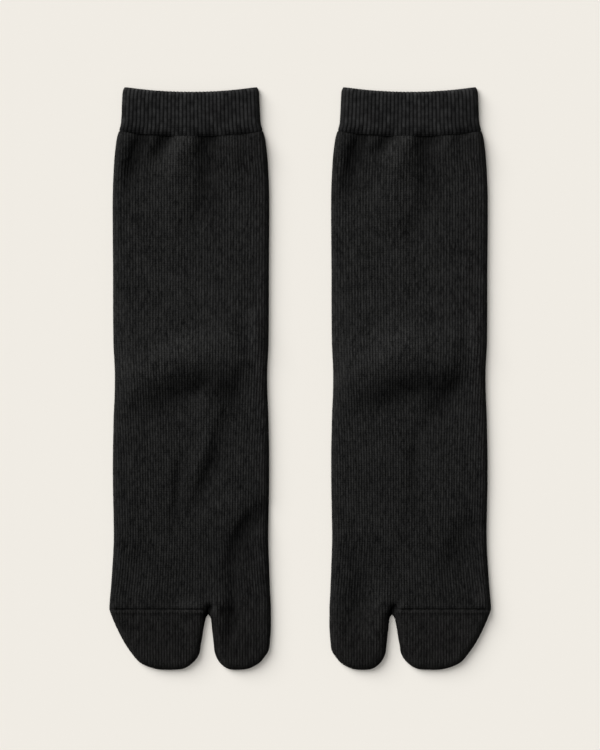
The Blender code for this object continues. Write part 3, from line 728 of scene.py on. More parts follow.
def rib_relief_tree():
    """Raises a rib on every wale of a shell, each a little uneven along its length."""
    base, given = new_tree("rib_relief", (
        ("Rib Height", "Float", 0.0004), ("Groove Sharpness", "Float", 0.7),
        ("Unevenness", "Float", 0.3), ("Swell", "Float", 0.0001), ("Seed", "Float", 0.0),
        ("Material", "Material", None)))
    wale, course, ribbed = (
        base.node("GeometryNodeInputNamedAttribute", {"data_type": "FLOAT"}, {0: title})
        for title in ("wale", "course", "ribbed"))
    crest = (0.5 - base.math("COSINE", wale * math.tau) * 0.5) ** given("Groove Sharpness")
    stitch_place = base.node("ShaderNodeCombineXYZ", inputs={
        0: wale * 0.8, 1: course * 0.35, 2: given("Seed")})
    uneven = stitch_place.noise(1.0, 2.0) - 0.5
    slow_place = base.node("ShaderNodeCombineXYZ", inputs={
        0: wale * 0.13, 1: course * 0.07, 2: given("Seed") + 9.0})
    slow = slow_place.noise(1.0, 1.0) - 0.5
    height = (given("Rib Height") * crest * (uneven * given("Unevenness") * 2 + 1)
              + given("Swell") * slow * 2) * ribbed
    raised = base.node("GeometryNodeSetPosition", inputs={
        "Geometry": given("Geometry"),
        "Offset": base.node("ShaderNodeVectorMath", {"operation": "SCALE"}, {
            0: base.node("GeometryNodeInputNormal"), "Scale": height})})
    return close_tree(base, raised, given)


def made_real(name, mesh, tree, sizes):
    """The plain object that a geometry node tree makes out of a mesh."""
    source = bpy.data.objects.new(f"{name}_source", mesh)
    bpy.context.scene.collection.objects.link(source)
    modifier = source.modifiers.new(tree.name, "NODES")
    modifier.node_group = tree
    for socket in tree.interface.items_tree:
        if socket.in_out == "INPUT" and socket.name in sizes:
            modifier[socket.identifier] = sizes[socket.name]
    graph = bpy.context.evaluated_depsgraph_get()
    plain = bpy.data.meshes.new_from_object(source.evaluated_get(graph))
    source.modifiers.remove(modifier)
    bpy.data.objects.remove(source)
    bpy.data.meshes.remove(mesh)
    plain.name = name
    plain.shade_smooth()
    plain.set_sharp_from_angle(angle=math.radians(68))
    made = bpy.data.objects.new(name, plain)
    bpy.context.scene.collection.objects.link(made)
    return made


def cloth_run(reach, rise):
    """Distance run along a rounded edge, and how far in from the edge that is."""
    turn = np.linspace(0, math.pi / 2, 90)
    inward, height = reach * (1 - np.cos(turn)), rise * np.sin(turn)
    steps = np.hypot(np.diff(inward), np.diff(height))
    return np.concatenate([[0.0], np.cumsum(steps)]), inward


def on_panel(arc, little, big, run, inward):
    """A place on a flattened tube's panel, from the distance run along the cloth from its
    big-toe edge: across, and the distance in from its nearer edge, up to its rounding."""
    reach = inward[-1]
    flat = little + big - 2 * reach
    from_big = np.interp(arc, run, inward)
    from_little = np.interp(2 * run[-1] + flat - arc, run, inward)
    across = -big + from_big + np.clip(arc - run[-1], 0, flat) + reach - from_little
    return across, np.minimum(from_big, from_little)


def tube_wales(ribs, upper_ribs, rib_columns):
    """Columns round a tube as rib numbers, 0 on the middle of its upper panel: many to a
    rib on the upper panel and two to a rib below, from and to the middle of the back."""
    upper = np.arange(upper_ribs * rib_columns + 1) / rib_columns - upper_ribs / 2
    back = np.arange(1, ribs - upper_ribs) / 2 + upper_ribs / 2
    return np.concatenate([[-ribs / 2], -back[::-1], upper, back, [ribs / 2]])


def tube_rows(sock, wales, ribs, pitch, ups, sides, sag, top):
    """A flattened tube's points, one row for each height: across, up, z, whether they are
    on its upper panel, and the share of the ribs' height that shows there."""
    ups = np.asarray(ups)[:, None]
    little, big = sides(ups)
    upper_run, under_run = cloth_run(EDGE_REACH, EDGE_RISE), cloth_run(UNDER_REACH, EDGE_MID)
    upper = little + big + 2 * (upper_run[0][-1] - EDGE_REACH)
    under = little + big + 2 * (under_run[0][-1] - UNDER_REACH)
    held = upper / pitch(ups)
    round_edge = (np.abs(wales) - held / 2) * under / (ribs - held)
    from_big = np.where(wales < 0, round_edge, under - round_edge)
    on_top = round_edge <= 0
    above, _ = on_panel(upper / 2 + wales * pitch(ups), little, big, *upper_run)
    below, inward = on_panel(from_big, little, big, *under_run)
    across = np.where(on_top, above, below)
    up = ups - sag(ups) * (1 - np.clip(2 * np.abs(across) / (little + big), 0, 1) ** 2)
    z = np.where(on_top, top(across, up), sock.under(across, up) + sole_height(inward))
    pressed = UNDER_RELIEF / RIB_HEIGHT
    at_edge = bell(np.minimum(little - across, big + across), EDGE_FADE)
    shown = np.where(on_top, 1 - EDGE_FLATTENS * at_edge, pressed)
    return across, up, z, on_top, shown


def tube_inside(sock, across, up, z, on_top, wall, count):
    """A tube's inside in a few rows: its outside drawn in by one layer of knit, below the
    deepest fold and above the highest floor between the rows on either side."""
    rows = np.linspace(0, len(z) - 1, count).astype(int)
    spans = [slice(rows[max(i - 1, 0)], rows[min(i + 1, count - 1)] + 1) for i in range(count)]
    lowest = np.array([z[span].min(axis=0) for span in spans])
    highest = np.array([z[span].max(axis=0) for span in spans])
    across, up, on_top = across[rows], up[rows], on_top[rows]
    over = np.maximum(lowest - EDGE_MID, 0.0)
    full = np.where(on_top, over, 0.0).max(axis=1, keepdims=True)
    ceiling = EDGE_MID + over * (1 - wall / full)
    ceiling = np.minimum(ceiling, np.maximum(lowest - 0.8 * wall, EDGE_MID))
    level = highest - sock.under(across, up) - UNDER_RELIEF
    floor = highest + wall * (1 - np.clip(level / (EDGE_MID - UNDER_RELIEF), 0, 1))
    return across * (1 - wall / across.max()), up, np.where(on_top, ceiling, floor)


def tube_mesh(title, sock, wales, rows, ribbed, painted_shading, course, wall, inside_rows):
    """The closed wall of a flattened tube, open at both ends."""
    across, up, z, on_top = rows
    shell = Shell()
    outside = shell.grid(sock.place(across, up, z), wales, up / course, ribbed,
                         np.where(on_top, painted_shading, 0.0))
    across, up, z = tube_inside(sock, across, up, z, on_top, wall, inside_rows)
    inside = shell.grid(sock.place(across, up, z), wales, up / course, 0.0)
    shell.wall(outside, inside)
    return shell.mesh(title)


def spread(start, end, fine, coarse, ease):
    """Heights from start to end, closely spaced near both ends and coarser between."""
    heights = [start]
    while heights[-1] < end:
        inward = min(heights[-1] - start, end - heights[-1])
        heights.append(heights[-1] + fine + (coarse - fine) * min(inward / ease, 1.0))
    heights[-1] = end
    return heights


def finish_piece(piece, node):
    """Let a knitted shell stand for its CAD solid."""
    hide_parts(node)
    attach(piece, "root")


LEG_SHADE = (0.0044, 0.0044, 0.0044)
LEG_LIT = (0.0250, 0.0248, 0.0242)
LEG_YARN = (1.7, 0.42, 1.0, 1.35)  # rib crests' painted highlight narrow, bright and streaky, yarn uneven
FOOT_SHADE = 0.84         # the foot is darker than the leg by this factor
TOE_FADE = 1.6            # the ribs flatten over this length into the linked seam
LINKED = 0.7              # by this share of their height
CUFF_FADE = 1.2           # and over this one into the crease under the cuff
PULLED = 0.6              # by this share

rib_relief = rib_relief_tree()
leg_knit = knit_material("leg_knit", LEG_SHADE, LEG_LIT, LEG_YARN, FOOT_SHADE)
leg_wales = tube_wales(LEG_RIBS, UPPER_RIBS, RIB_COLUMNS)
socks = [Sock(name) for name in sorted({node.split("_")[0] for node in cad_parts})]


def leg_pitch(up):
    return smooth_value(RIB_PITCH, 1, up)


def leg_sag(up):
    """How far the middle of a row hangs below its ends: only near the cuff."""
    return CUFF_SAG * ramp(up, CUFF_BASE - SAG_REACH, CUFF_BASE)


for sock in socks:
    ups = spread(TOE_SEAM, CUFF_BASE, *LEG_ROWS)
    *rows, ribbed = tube_rows(sock, leg_wales, LEG_RIBS, leg_pitch, ups, sock.sides, leg_sag,
                              sock.top)
    across, up = rows[:2]
    ribbed = ribbed * (1 - LINKED * (sock.on_pocket(across) * bell(up - TOE_SEAM, TOE_FADE)))
    ribbed = ribbed * (1 - PULLED * bell(sock.cuff_line(across) - up, CUFF_FADE))
    # The upper panel gets painted shade in its folds and on its shaded edges.
    mesh = tube_mesh("leg_foot", sock, leg_wales, rows, ribbed, sock.painted_shading(across, up),
                     COURSE, LEG_WALL, INSIDE_ROWS)
    leg = made_real(f"{sock.name}_leg_foot_knit", mesh, rib_relief, {
        "Rib Height": RIB_HEIGHT * MM, "Groove Sharpness": RIB_SHARPNESS, "Unevenness": 0.5,
        "Swell": 0.12 * MM, "Seed": sock.side, "Material": leg_knit})
    finish_piece(leg, f"{sock.name}_leg_foot")

# ================================================================ cuff
# Each cuff is a 1 x 1 rib welt, knitted double and turned at the top, so it is thicker
# and tighter than the leg. Its lower edge rounds down into the crease it pulls there, and
# its turned top edge rolls over into the mouth of the sock.
CUFF_WALL = 1.6
CUFF_RIBS = 76            # round the whole cuff
CUFF_UPPER_RIBS = 40
CUFF_RIB_COLUMNS = 8
CUFF_RIB_HEIGHT = 0.62
CUFF_RIB_SHARPNESS = 0.32
CUFF_COURSE = 1.2
CUFF_ROWS = (0.2, 0.85, 5.0)
CUFF_INSIDE_ROWS = 6
CUFF_RIBS_ACROSS = 38.1   # on the upper panel
CUFF_DRAWN_IN = 0.4       # its panels lie this much closer than the leg's
CUFF_ABOVE = 6.0          # the cuff rises out of the crease over this length
TURN_REACH = 4.4          # and rounds down to its turned edge over this one
TURN_DROP = 2.0
TURN_INSIDE = 0.25        # the ribs stand out beyond the turned edge by about this
TURN_FLATTENS = (0.2, 2.2)        # rib height left at the turned edge, and up to where
CREASE_FLATTENS = (0.4, 2.0)      # and in the crease
CUFF_SHADE = (0.0036, 0.0036, 0.0037)
CUFF_LIT = (0.0275, 0.0275, 0.0275)
CUFF_YARN = (0.45, 0.55, 0.75, 0.42)

# Painted shade on the cuff, or painted highlight where negative: how far, how wide.
IN_CREASE = (0.26, 0.22, 3.4)     # painted shade in the crease: everywhere, more where it is deep, how wide
# Painted highlight on the turned top edge, which faces the light.
AT_TURN = (-1.4, 1.5)
# Painted shade on the right edge, away from the light, and painted highlight on the lit left
# one.
AT_RIGHT_EDGE = (0.6, 1.4)
AT_LEFT_EDGE = (-0.4, 0.9)

# Half widths of the cuff: up, little-toe side, big-toe side.
CUFF_SIDES = (
    (312, 41.2, 41.1), (315, 40.4, 40.3), (320, 40, 39.9), (328, 39.7, 39.5), (334, 39.2, 39.1),
    (336.4, 38.2, 38.1))
CUFF_TOP = up_of(cad_high.y) - TURN_INSIDE


def cuff_sides(up):
    """Half widths on the little-toe and on the big-toe side."""
    return smooth_value(CUFF_SIDES, 1, up) - DRAW_IN, smooth_value(CUFF_SIDES, 2, up) - DRAW_IN


def cuff_pitch(up):
    little, big = cuff_sides(up)
    edge_run = cloth_run(EDGE_REACH, EDGE_RISE)[0][-1]
    return (little + big + 2 * (edge_run - EDGE_REACH)) / CUFF_RIBS_ACROSS


def cuff_top(sock):
    """Height of the cuff's upper panel at the bottom of its ribs."""
    def height(across, up):
        little, big = cuff_sides(up)
        inward = np.maximum(np.minimum(little - across, big + across), 0.0)
        full = 2 * CUFF_WALL + EDGE_GAP - CUFF_DRAWN_IN + crown(inward)
        line = sock.cuff_line(across)
        below_turn = line + CUFF_TOP - CUFF_BASE - up
        full = full - TURN_DROP * (1 - rounded(below_turn, TURN_REACH))
        return sock.out_of_crease(round_down(full, inward), across, up - line, CUFF_ABOVE)
    return height


def cuff_sag(_up):
    return CUFF_SAG


def cuff_painted_shading(sock, across, up, from_turn):
    """Painted shade in the crease and on the right edge; painted highlight on top and left
    edge.
    """
    least, more, width = IN_CREASE
    right = sock.side * across
    little, big = cuff_sides(up)
    left_edge, right_edge = (big, little) if sock.side > 0 else (little, big)
    painted_shading = least + more * smooth_value(CREASE_DEPTH, 1, right)
    painted_shading = painted_shading * bell(up - sock.cuff_line(across), width)
    for (share, width), away in ((AT_TURN, from_turn), (AT_RIGHT_EDGE, right_edge - right),
                                 (AT_LEFT_EDGE, left_edge + right)):
        painted_shading = painted_shading + share * bell(away, width)
    return painted_shading


cuff_knit = knit_material("cuff_knit", CUFF_SHADE, CUFF_LIT, CUFF_YARN)
cuff_wales = tube_wales(CUFF_RIBS, CUFF_UPPER_RIBS, CUFF_RIB_COLUMNS)
for sock in socks:
    ups = spread(CUFF_BASE, CUFF_TOP, *CUFF_ROWS)
    *rows, ribbed = tube_rows(sock, cuff_wales, CUFF_RIBS, cuff_pitch, ups, cuff_sides,
                              cuff_sag, cuff_top(sock))
    across, up = rows[:2]
    from_turn = CUFF_TOP - np.array(ups)[:, None]
    from_crease = CUFF_TOP - CUFF_BASE - from_turn
    for (left, reach), away in ((TURN_FLATTENS, from_turn), (CREASE_FLATTENS, from_crease)):
        ribbed = ribbed * (left + (1 - left) * rounded(away, reach))
    # The cuff gets painted shade in its crease and on its shaded edge, painted highlight on its
    # lit edges.
    mesh = tube_mesh("cuff", sock, cuff_wales, rows, ribbed,
                     cuff_painted_shading(sock, across, up, from_turn), CUFF_COURSE,
                     CUFF_WALL * 0.9, CUFF_INSIDE_ROWS)
    cuff = made_real(f"{sock.name}_cuff_knit", mesh, rib_relief, {
        "Rib Height": CUFF_RIB_HEIGHT * MM, "Groove Sharpness": CUFF_RIB_SHARPNESS,
        "Unevenness": 0.3, "Swell": 0.08 * MM, "Seed": 20 + sock.side,
        "Material": cuff_knit})
    finish_piece(cuff, f"{sock.name}_cuff")

# ================================================================ toe cups
# Two cups close each foot: the four-toe pocket, linked on along a straight seam, and the
# big toe, which is knitted on from the foot with its ribs running through. Both round
# down at their edges and lie flat below.
LEAN = 0.14               # how much a steep toe edge draws the ribs along with it
TOE_INSET = 3.3           # from a cup's edge to its plain inside
TOE_RIB_HEIGHT = 0.9 * RIB_HEIGHT
TOE_HOLLOW = 0.1          # least height of the hollow inside
SPLIT_FADE = (3.0, 8.0)   # the edge is drawn in beyond this distance from the split's end
TOE_SHADE = (0.0040, 0.0039, 0.0038)
TOE_LIT = (0.0190, 0.0186, 0.0180)
TOE_YARN = (1.5, 0.40, 1.0, 1.35)


def rib_feet(edge, shares):
    """Where each rib meets a cup's edge, and the outward direction there."""
    path = smooth_path(edge, steps=16)
    steps = np.diff(path, axis=0)
    lengths = np.linalg.norm(steps, axis=1)
    gains = np.maximum(steps[:, 0], 0.0) + LEAN * lengths
    progress = np.concatenate([[0.0], np.cumsum(gains)]) / gains.sum()
    foot = np.stack([np.interp(shares, progress, path[:, i]) for i in (0, 1)], axis=-1)
    along = np.gradient(path, axis=0)
    outward = np.stack([np.interp(shares, progress, along[:, 1]),
                        -np.interp(shares, progress, along[:, 0])], axis=-1)
    outward /= np.linalg.norm(outward, axis=1)[:, None]
    outward[0] = (-1.0, 0.0)
    outward[-1] = (1.0, 0.0)
    return foot, outward


def cup_columns(sock, first, last):
    """A cup's columns as rib numbers of the foot's last row, and their places there."""
    little, big = sock.sides(TOE_SEAM)
    run, inward = cloth_run(EDGE_REACH, EDGE_RISE)
    upper = little + big + 2 * (run[-1] - EDGE_REACH)
    wales = np.linspace(-UPPER_RIBS / 2, UPPER_RIBS / 2, UPPER_RIBS * RIB_COLUMNS + 1)
    across, _ = on_panel(upper / 2 + wales * leg_pitch(TOE_SEAM), little, big, run, inward)
    ends = np.interp((first, last), across, wales)
    close = 0.02              # a column this close to an end, in ribs, is left out
    kept = (wales > ends[0] + close) & (wales < ends[1] - close)
    wales = np.concatenate([ends[:1], wales[kept], ends[1:]])
    across = np.concatenate([[first], across[kept], [last]])
    return wales, across


def cup_face(head, foot, outward, reach, rows, turns):
    """One face of a cup in lines from the seam to its edge: straight to the start of the
    rounding, then over it. reach is how wide the rounding is for each line."""
    near = foot - outward * reach[:, None]
    near[:, 1] = np.minimum(near[:, 1], TOE_SEAM)
    straight = head[:, None] + (near - head)[:, None] * rows[:, None]
    turned = np.arccos(1 - reach / reach.max())
    back = reach.max() * (1 - np.cos(turned[:, None] * (1 - turns)))
    over = foot[:, None] - outward[:, None] * back[..., None]
    over[..., 1] = np.minimum(over[..., 1], TOE_SEAM)
    return np.concatenate([straight, over], axis=1)


def on_seam(across):
    """Places along the toe seam."""
    return np.stack([across, np.full(len(across), TOE_SEAM)], axis=-1)


def cup_sole(across, first, last, foot, outward):
    """The lines of a cup's sole, from its edge to the seam. They reach further out than
    those of the face above, since the sole turns up over a shorter distance."""
    inward = np.minimum(across - first, last - across)
    middle = (first + last) / 2
    narrow = np.where(inward < EDGE_REACH, inward * (UNDER_REACH / EDGE_REACH), UNDER_REACH)
    widen = (last - middle - UNDER_REACH) / (last - middle - EDGE_REACH)
    nearer_end = np.where(across < middle, first, last)
    from_end = np.where(across < middle, 1, -1) * narrow
    across = np.where(inward < EDGE_REACH, nearer_end + from_end,
                      middle + (across - middle) * widen)
    return cup_face(on_seam(across), foot, outward, narrow, np.linspace(0, 1, 12),
                    np.linspace(0, 1, 5)[1:-1])[:, ::-1]


def cup_knit(sock, face, wales, across, outward, sole_shape):
    """Rib numbers, rows of stitches and rib height over a cup's face and its sole."""
    linked = sock.on_pocket(face[..., 0]) * bell(face[..., 1] - TOE_SEAM, TOE_FADE)
    edge_away = sock.from_edge(face[..., 0], face[..., 1])
    shown = (1 - EDGE_FLATTENS * bell(edge_away, EDGE_FADE)) * (1 - LINKED * linked)
    run, run_inward = cloth_run(EDGE_REACH, EDGE_RISE)
    slack = np.interp(edge_away, run_inward, run[-1] - run - (EDGE_REACH - run_inward))
    slack = slack * np.maximum(
        ramp(TOE_SEAM - face[..., 1], 0.0, TOE_FLARE),
        ramp(np.abs(face[..., 0] - SPLIT_ACROSS), TOE_FLARE, 2 * TOE_FLARE))
    flat = len(wales) // 2
    numbers = wales[flat] + (face[..., 0] - across[flat]) / leg_pitch(TOE_SEAM)
    numbers = numbers + slack * outward[:, :1] / leg_pitch(TOE_SEAM)
    courses = (face[..., 1] + slack * outward[:, 1:]) / COURSE
    sole_numbers = np.repeat(numbers[:, -1:], sole_shape[1], 1)
    sole_courses = courses[:, -1:] - np.cumsum(np.ones(sole_shape), axis=1)
    return (np.hstack([numbers, sole_numbers]), np.hstack([courses, sole_courses]),
            np.hstack([shown, np.full(sole_shape, UNDER_RELIEF / RIB_HEIGHT)]))


def toe_cup(sock, piece, edge):
    """One cup: a face above and a sole below that meet at its edge, and a plain inside."""
    first, last = edge[0][0], edge[-1][0]
    edge = [(first, TOE_SEAM), *edge[1:-1], (last, TOE_SEAM)]
    first += DRAW_IN * (first < 2 * SPLIT_ACROSS)
    last -= DRAW_IN * (last > 0)
    wales, across = cup_columns(sock, first, last)
    foot, outward = rib_feet(edge, (wales - wales[0]) / (wales[-1] - wales[0]))
    from_split = np.hypot(foot[:, 0] - SPLIT_ACROSS, foot[:, 1] - TOE_SEAM)
    foot = foot - outward * DRAW_IN * ramp(from_split, *SPLIT_FADE)[:, None]
    foot[0], foot[-1] = (first, TOE_SEAM), (last, TOE_SEAM)

    reach = np.minimum(np.minimum(across - first, last - across), EDGE_REACH)
    rows = np.array(spread(0.0, 1.0, 0.012, 0.045, 0.15))
    face = cup_face(on_seam(across), foot, outward, reach, rows, np.linspace(0, 1, 15)[1:])
    face_z = sock.top(face[..., 0], face[..., 1])
    face_z[:, -1] = EDGE_MID
    sole = cup_sole(across, first, last, foot, outward)
    sole_z = sole_height(nearest_on_path(sole, foot)[0])
    points = np.hstack([face, sole])
    numbers, courses, ribbed = cup_knit(sock, face, wales, across, outward, sole_z.shape)
    # Painted shade and highlight on the cup's face; none on its sole.
    painted_shading = np.hstack([sock.painted_shading(face[..., 0], face[..., 1]), np.zeros(sole_z.shape)])
    shell = Shell()
    outside = shell.grid(
        sock.place(points[..., 0], points[..., 1], np.hstack([face_z, sole_z])),
        numbers, courses, ribbed, painted_shading)

    middle = (first + last) / 2
    inset = np.full(len(wales), TOE_INSET)
    inner = cup_face(on_seam(middle + (across - middle) * (1 - TOE_INSET / (last - middle))),
                     foot, outward, inset, np.linspace(0, 1, 6), np.zeros(0))
    floor = UNDER_RELIEF + LEG_WALL
    ceiling = sock.top(inner[..., 0], inner[..., 1]) - LEG_WALL
    ceiling = np.maximum(ceiling, floor + TOE_HOLLOW)
    inner = np.hstack([inner, inner[:, ::-1]])
    inner_z = np.hstack([ceiling, np.full(ceiling.shape, floor)])
    inside = shell.grid(sock.place(inner[..., 0], inner[..., 1], inner_z), wales[:, None],
                        inner[..., 1] / COURSE, 0.0)
    shell.skin(outside)
    shell.skin(inside[::-1])
    shell.skin(np.stack([inside[:, 0], outside[:, 0]]))
    shell.skin(np.stack([outside[:, -1], inside[:, -1]]))
    for outer_line, inner_line in ((outside[0], inside[0]), (outside[-1], inside[-1])):
        shell.caps.append([*outer_line.tolist(), int(inner_line[-1]), int(inner_line[0])])
    cup = made_real(f"{sock.name}_{piece}_knit", shell.mesh(piece), rib_relief, {
        "Rib Height": TOE_RIB_HEIGHT * MM, "Groove Sharpness": RIB_SHARPNESS,
        "Unevenness": 0.5, "Swell": 0.10 * MM, "Seed": sock.side, "Material": toe_knit})
    finish_piece(cup, f"{sock.name}_{piece}")


toe_knit = knit_material("toe_knit", TOE_SHADE, TOE_LIT, TOE_YARN)
for sock in socks:
    toe_cup(sock, "toe_pocket", POCKET_EDGE)
    toe_cup(sock, "big_toe", BIG_TOE_EDGE)

# ================================================================ toe seam
# The four-toe pocket is linked to the foot with one loop of yarn to a rib. The loops lie side
# by side over the seam's ridge, each a little uneven in length and turn.
LOOP_LENGTH = 1.5
LOOP_HEIGHT = 0.34
LOOP_YARN_RADIUS = 0.16
LOOP_BELOW = 1.3          # the middle of the row lies this far towards the toes
LOOP_ENDS = (3.2, 1.6)    # how far the row stops from the split and from the outer edge
LOOP_LIFT = 0.12          # the loops lie this high on the cloth between the ribs
LOOP_SHADE = (0.0070, 0.0068, 0.0066)
LOOP_LIT = (0.0250, 0.0246, 0.0240)


def seam_loop_tree():
    """Sets a bent loop of yarn on every point, tilted by the point's lean."""
    base, given = new_tree("seam_loops", (
        ("Yarn Radius", "Float", 0.00016), ("Loop Length", "Float", 0.0015),
        ("Loop Height", "Float", 0.00034), ("Unevenness", "Float", 0.2), ("Seed", "Int", 0),
        ("Material", "Material", None)))
    half = given("Loop Length") * 0.5
    start = base.node("ShaderNodeCombineXYZ", inputs={1: half * -1})
    middle = base.node("ShaderNodeCombineXYZ", inputs={2: given("Loop Height") * 2})
    end = base.node("ShaderNodeCombineXYZ", inputs={1: half})
    line = base.node("GeometryNodeCurveQuadraticBezier", inputs={
        "Resolution": 4, "Start": start, "Middle": middle, "End": end})
    round_yarn = base.node("GeometryNodeCurvePrimitiveCircle", inputs={
        "Resolution": 6, "Radius": given("Yarn Radius")})
    loop = base.node("GeometryNodeCurveToMesh", inputs={
        "Curve": line, "Profile Curve": round_yarn, "Fill Caps": True})
    turn = base.node("FunctionNodeRandomValue", {"data_type": "FLOAT_VECTOR"}, {
        0: (-0.5, -0.5, -1.0), 1: (0.5, 0.5, 1.0), "Seed": given("Seed")})
    turn = base.node("ShaderNodeVectorMath", {"operation": "SCALE"}, {
        0: turn, "Scale": given("Unevenness")})
    lean = base.node("GeometryNodeInputNamedAttribute", {"data_type": "FLOAT"}, {0: "lean"})
    turn = base.node("ShaderNodeVectorMath", inputs={
        0: turn, 1: base.node("ShaderNodeCombineXYZ", inputs={1: lean})})
    size = base.node("FunctionNodeRandomValue", {"data_type": "FLOAT_VECTOR"}, {
        0: (-0.4, -1.0, -0.6), 1: (0.4, 1.0, 0.6), "Seed": given("Seed") + 1})
    size = base.node("ShaderNodeVectorMath", {"operation": "MULTIPLY_ADD"}, {
        0: size, 1: base.node("ShaderNodeCombineXYZ", inputs={
            0: given("Unevenness"), 1: given("Unevenness"), 2: given("Unevenness")}),
        2: (1.0, 1.0, 1.0)})
    loops = base.node("GeometryNodeInstanceOnPoints", inputs={
        "Points": given("Geometry"), "Instance": loop, "Rotation": turn, "Scale": size})
    return close_tree(base, loops, given)


def yarn_material(name, shade, lit):
    """Plain matt cotton yarn, uneven in tone and a little hairy."""
    material, base, place, fibres = cotton(name)
    tone = place.noise(300.0, 2.0) * 1.4 + fibres * 0.6 - 0.5
    finish_cotton(base, fibres, base.between(shade, lit, tone), fibres, STITCH_DEPTH / 2)
    return material


seam_loops = seam_loop_tree()
seam_yarn = yarn_material("seam_yarn", LOOP_SHADE, LOOP_LIT)
for sock in socks:
    outer = sock.sides(TOE_SEAM)[0]
    across = np.arange(SPLIT_ACROSS + LOOP_ENDS[0], outer - LOOP_ENDS[1], leg_pitch(TOE_SEAM))
    up = np.full(len(across), TOE_SEAM - LOOP_BELOW)
    height = sock.top(across, up)
    slant = (sock.top(across + 0.3, up) - sock.top(across - 0.3, up)) / 0.6
    row = bpy.data.meshes.new("seam_row")
    row.from_pydata(sock.place(across, up, height + LOOP_LIFT).tolist(), [], [])
    leans = row.attributes.new("lean", "FLOAT", "POINT")
    leans.data.foreach_set("value", -np.arctan(slant) * sock.side)
    loops = made_real(f"{sock.name}_toe_seam_loops", row, seam_loops, {
        "Yarn Radius": LOOP_YARN_RADIUS * MM, "Loop Length": LOOP_LENGTH * MM,
        "Loop Height": LOOP_HEIGHT * MM, "Unevenness": 0.2, "Seed": 4 + int(sock.side),
        "Material": seam_yarn})
    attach(loops, "root")

# ================================================================ folded heel
# The heel is a short-row pocket of plain knit, folded flat under the leg with its end
# towards the cuff. It is two layers thick, and rounded where it folds.
HEEL_BASE = up_of(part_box("right_heel_pocket")[0].y)
HEEL_END = up_of(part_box("right_heel_pocket")[1].y)
HEEL_HALF_WIDTH = 35.5
HEEL_END_HALF_WIDTH = 21.0
HEEL_CORNER = 5.0
HEEL_RIB_WIDTH = 1.65
HEEL_SHADE = (0.0048, 0.0047, 0.0046)
HEEL_LIT = (0.0135, 0.0132, 0.0128)
HEEL_YARN = (1.0, 0.45, 0.5, 0.8)

# From the middle of the underside round both layers' edges to the middle of the top:
# height, share of the outline's size.
HEEL_RINGS = (
    (0.0, 0.30), (0.0, 0.62), (0.0, 0.96), (0.15, 0.985), (0.5, 1.0), (0.9, 0.99),
    (1.2, 0.965), (1.5, 0.99), (1.9, 1.0), (2.25, 0.985), (2.4, 0.96), (2.4, 0.62), (2.4, 0.30))


def heel_outline():
    """The folded heel's outline, a rounded trapezium, anticlockwise."""
    half = smooth_path((
        (0.0, HEEL_BASE),
        (HEEL_HALF_WIDTH - HEEL_CORNER, HEEL_BASE),
        (HEEL_HALF_WIDTH, HEEL_BASE + HEEL_CORNER),
        (HEEL_END_HALF_WIDTH + HEEL_CORNER, HEEL_END - 1.5 * HEEL_CORNER),
        (HEEL_END_HALF_WIDTH - HEEL_CORNER, HEEL_END - 0.1 * HEEL_CORNER),
        (0.0, HEEL_END)), steps=10)
    return np.vstack([half, half[-2:0:-1] * (-1, 1)])


heel_knit = knit_material("heel_knit", HEEL_SHADE, HEEL_LIT, HEEL_YARN)
outline = heel_outline()
middle = np.array([0.0, (HEEL_BASE + HEEL_END) / 2])
rings = np.array([middle + (outline - middle) * size for _, size in HEEL_RINGS])
ring_heights = np.array([z for z, _ in HEEL_RINGS])[:, None]
for sock in socks:
    across, up = rings[..., 0], rings[..., 1]
    shell = Shell()
    numbers = shell.grid(sock.place(across, up, ring_heights), across / HEEL_RIB_WIDTH,
                         up / COURSE, 0.0)
    shell.skin(numbers, closed=True)
    shell.caps.append(numbers[0].tolist())
    shell.caps.append(numbers[-1].tolist())
    heel = made_real(f"{sock.name}_heel_pocket_knit", shell.mesh("heel"), rib_relief, {
        "Rib Height": 0.0, "Groove Sharpness": 1.0, "Unevenness": 0.0, "Swell": 0.0,
        "Seed": 0.0, "Material": heel_knit})
    finish_piece(heel, f"{sock.name}_heel_pocket")

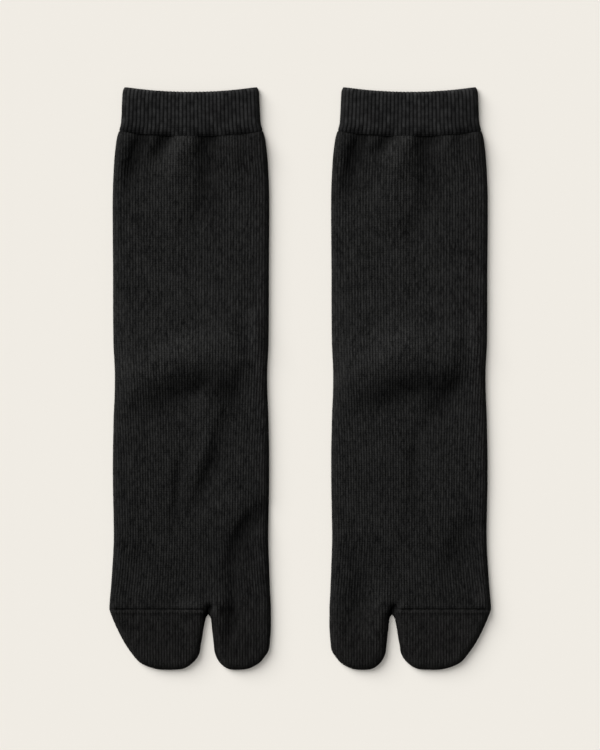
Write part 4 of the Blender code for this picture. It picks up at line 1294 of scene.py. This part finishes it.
# ================================================================ floor, light, camera
# A matt warm-white floor, one large soft light from the upper left with a weak one
# straight above, and a camera that looks straight down on the pair.
FLOOR_SIZE = 6.0
FLOOR_BELOW = 0.00002     # just clear of the undersides
FLOOR_COLOUR = (0.800, 0.770, 0.715)
SKY_COLOUR = (1.0, 0.98, 0.95)
SKY_STRENGTH = 0.11
FRAME_HEIGHT_PX = 750
LEG_WIDTH_PX = 155.8      # the leg's flat width in the frame
LEG_WIDTH = 90.0          # and its real size
VIEW_CENTRE = (-0.1, 1.9)  # where the middle of the frame looks, from the pair's middle
CAMERA_HEIGHT = 1.9
SENSOR = 36.0

mesh = bpy.data.meshes.new("floor")
edge = FLOOR_SIZE / 2
mesh.from_pydata([(x, y, -FLOOR_BELOW) for x, y in ((-edge, -edge), (edge, -edge),
                                                    (edge, edge), (-edge, edge))],
                 [], [(0, 1, 2, 3)])
floor = bpy.data.objects.new("floor", mesh)
bpy.context.scene.collection.objects.link(floor)
paper = bpy.data.materials.new("floor_paper")
paper.use_nodes = True
paper_shader = paper.node_tree.nodes["Principled BSDF"]
paper_shader.inputs["Base Color"].default_value = (*FLOOR_COLOUR, 1.0)
paper_shader.inputs["Roughness"].default_value = 0.95
paper_shader.inputs["Specular IOR Level"].default_value = 0.1
mesh.materials.append(paper)

LIGHTS = (
    # name, strength, angular size, direction it comes from
    ("key_light", 3.56, 46.0, (-1.0, 0.9, 1.0)),
    ("top_light", 0.96, 40.0, (0.0, 0.0, 1.0)),
)
for name, strength, size, source in LIGHTS:
    light = bpy.data.lights.new(name, "SUN")
    light.energy = strength
    light.angle = math.radians(size)
    lamp = bpy.data.objects.new(name, light)
    east, north, above = source
    lamp.rotation_euler = (math.atan2(math.hypot(east, north), above), 0.0,
                           math.atan2(east, -north))
    bpy.context.scene.collection.objects.link(lamp)

world = bpy.data.worlds.new("studio")
world.use_nodes = True
sky = world.node_tree.nodes["Background"]
sky.inputs["Color"].default_value = (*SKY_COLOUR, 1.0)
sky.inputs["Strength"].default_value = SKY_STRENGTH
bpy.context.scene.world = world
bpy.context.scene.view_settings.view_transform = "Standard"

frame_height = LEG_WIDTH * MM / LEG_WIDTH_PX * FRAME_HEIGHT_PX
camera = bpy.data.cameras.new("camera")
camera.sensor_width = SENSOR
camera.lens = SENSOR * CAMERA_HEIGHT / frame_height
viewer = bpy.data.objects.new("camera", camera)
viewer.location = (VIEW_CENTRE[0] * MM, VIEW_CENTRE[1] * MM, CAMERA_HEIGHT)
bpy.context.scene.collection.objects.link(viewer)
bpy.context.scene.camera = viewer
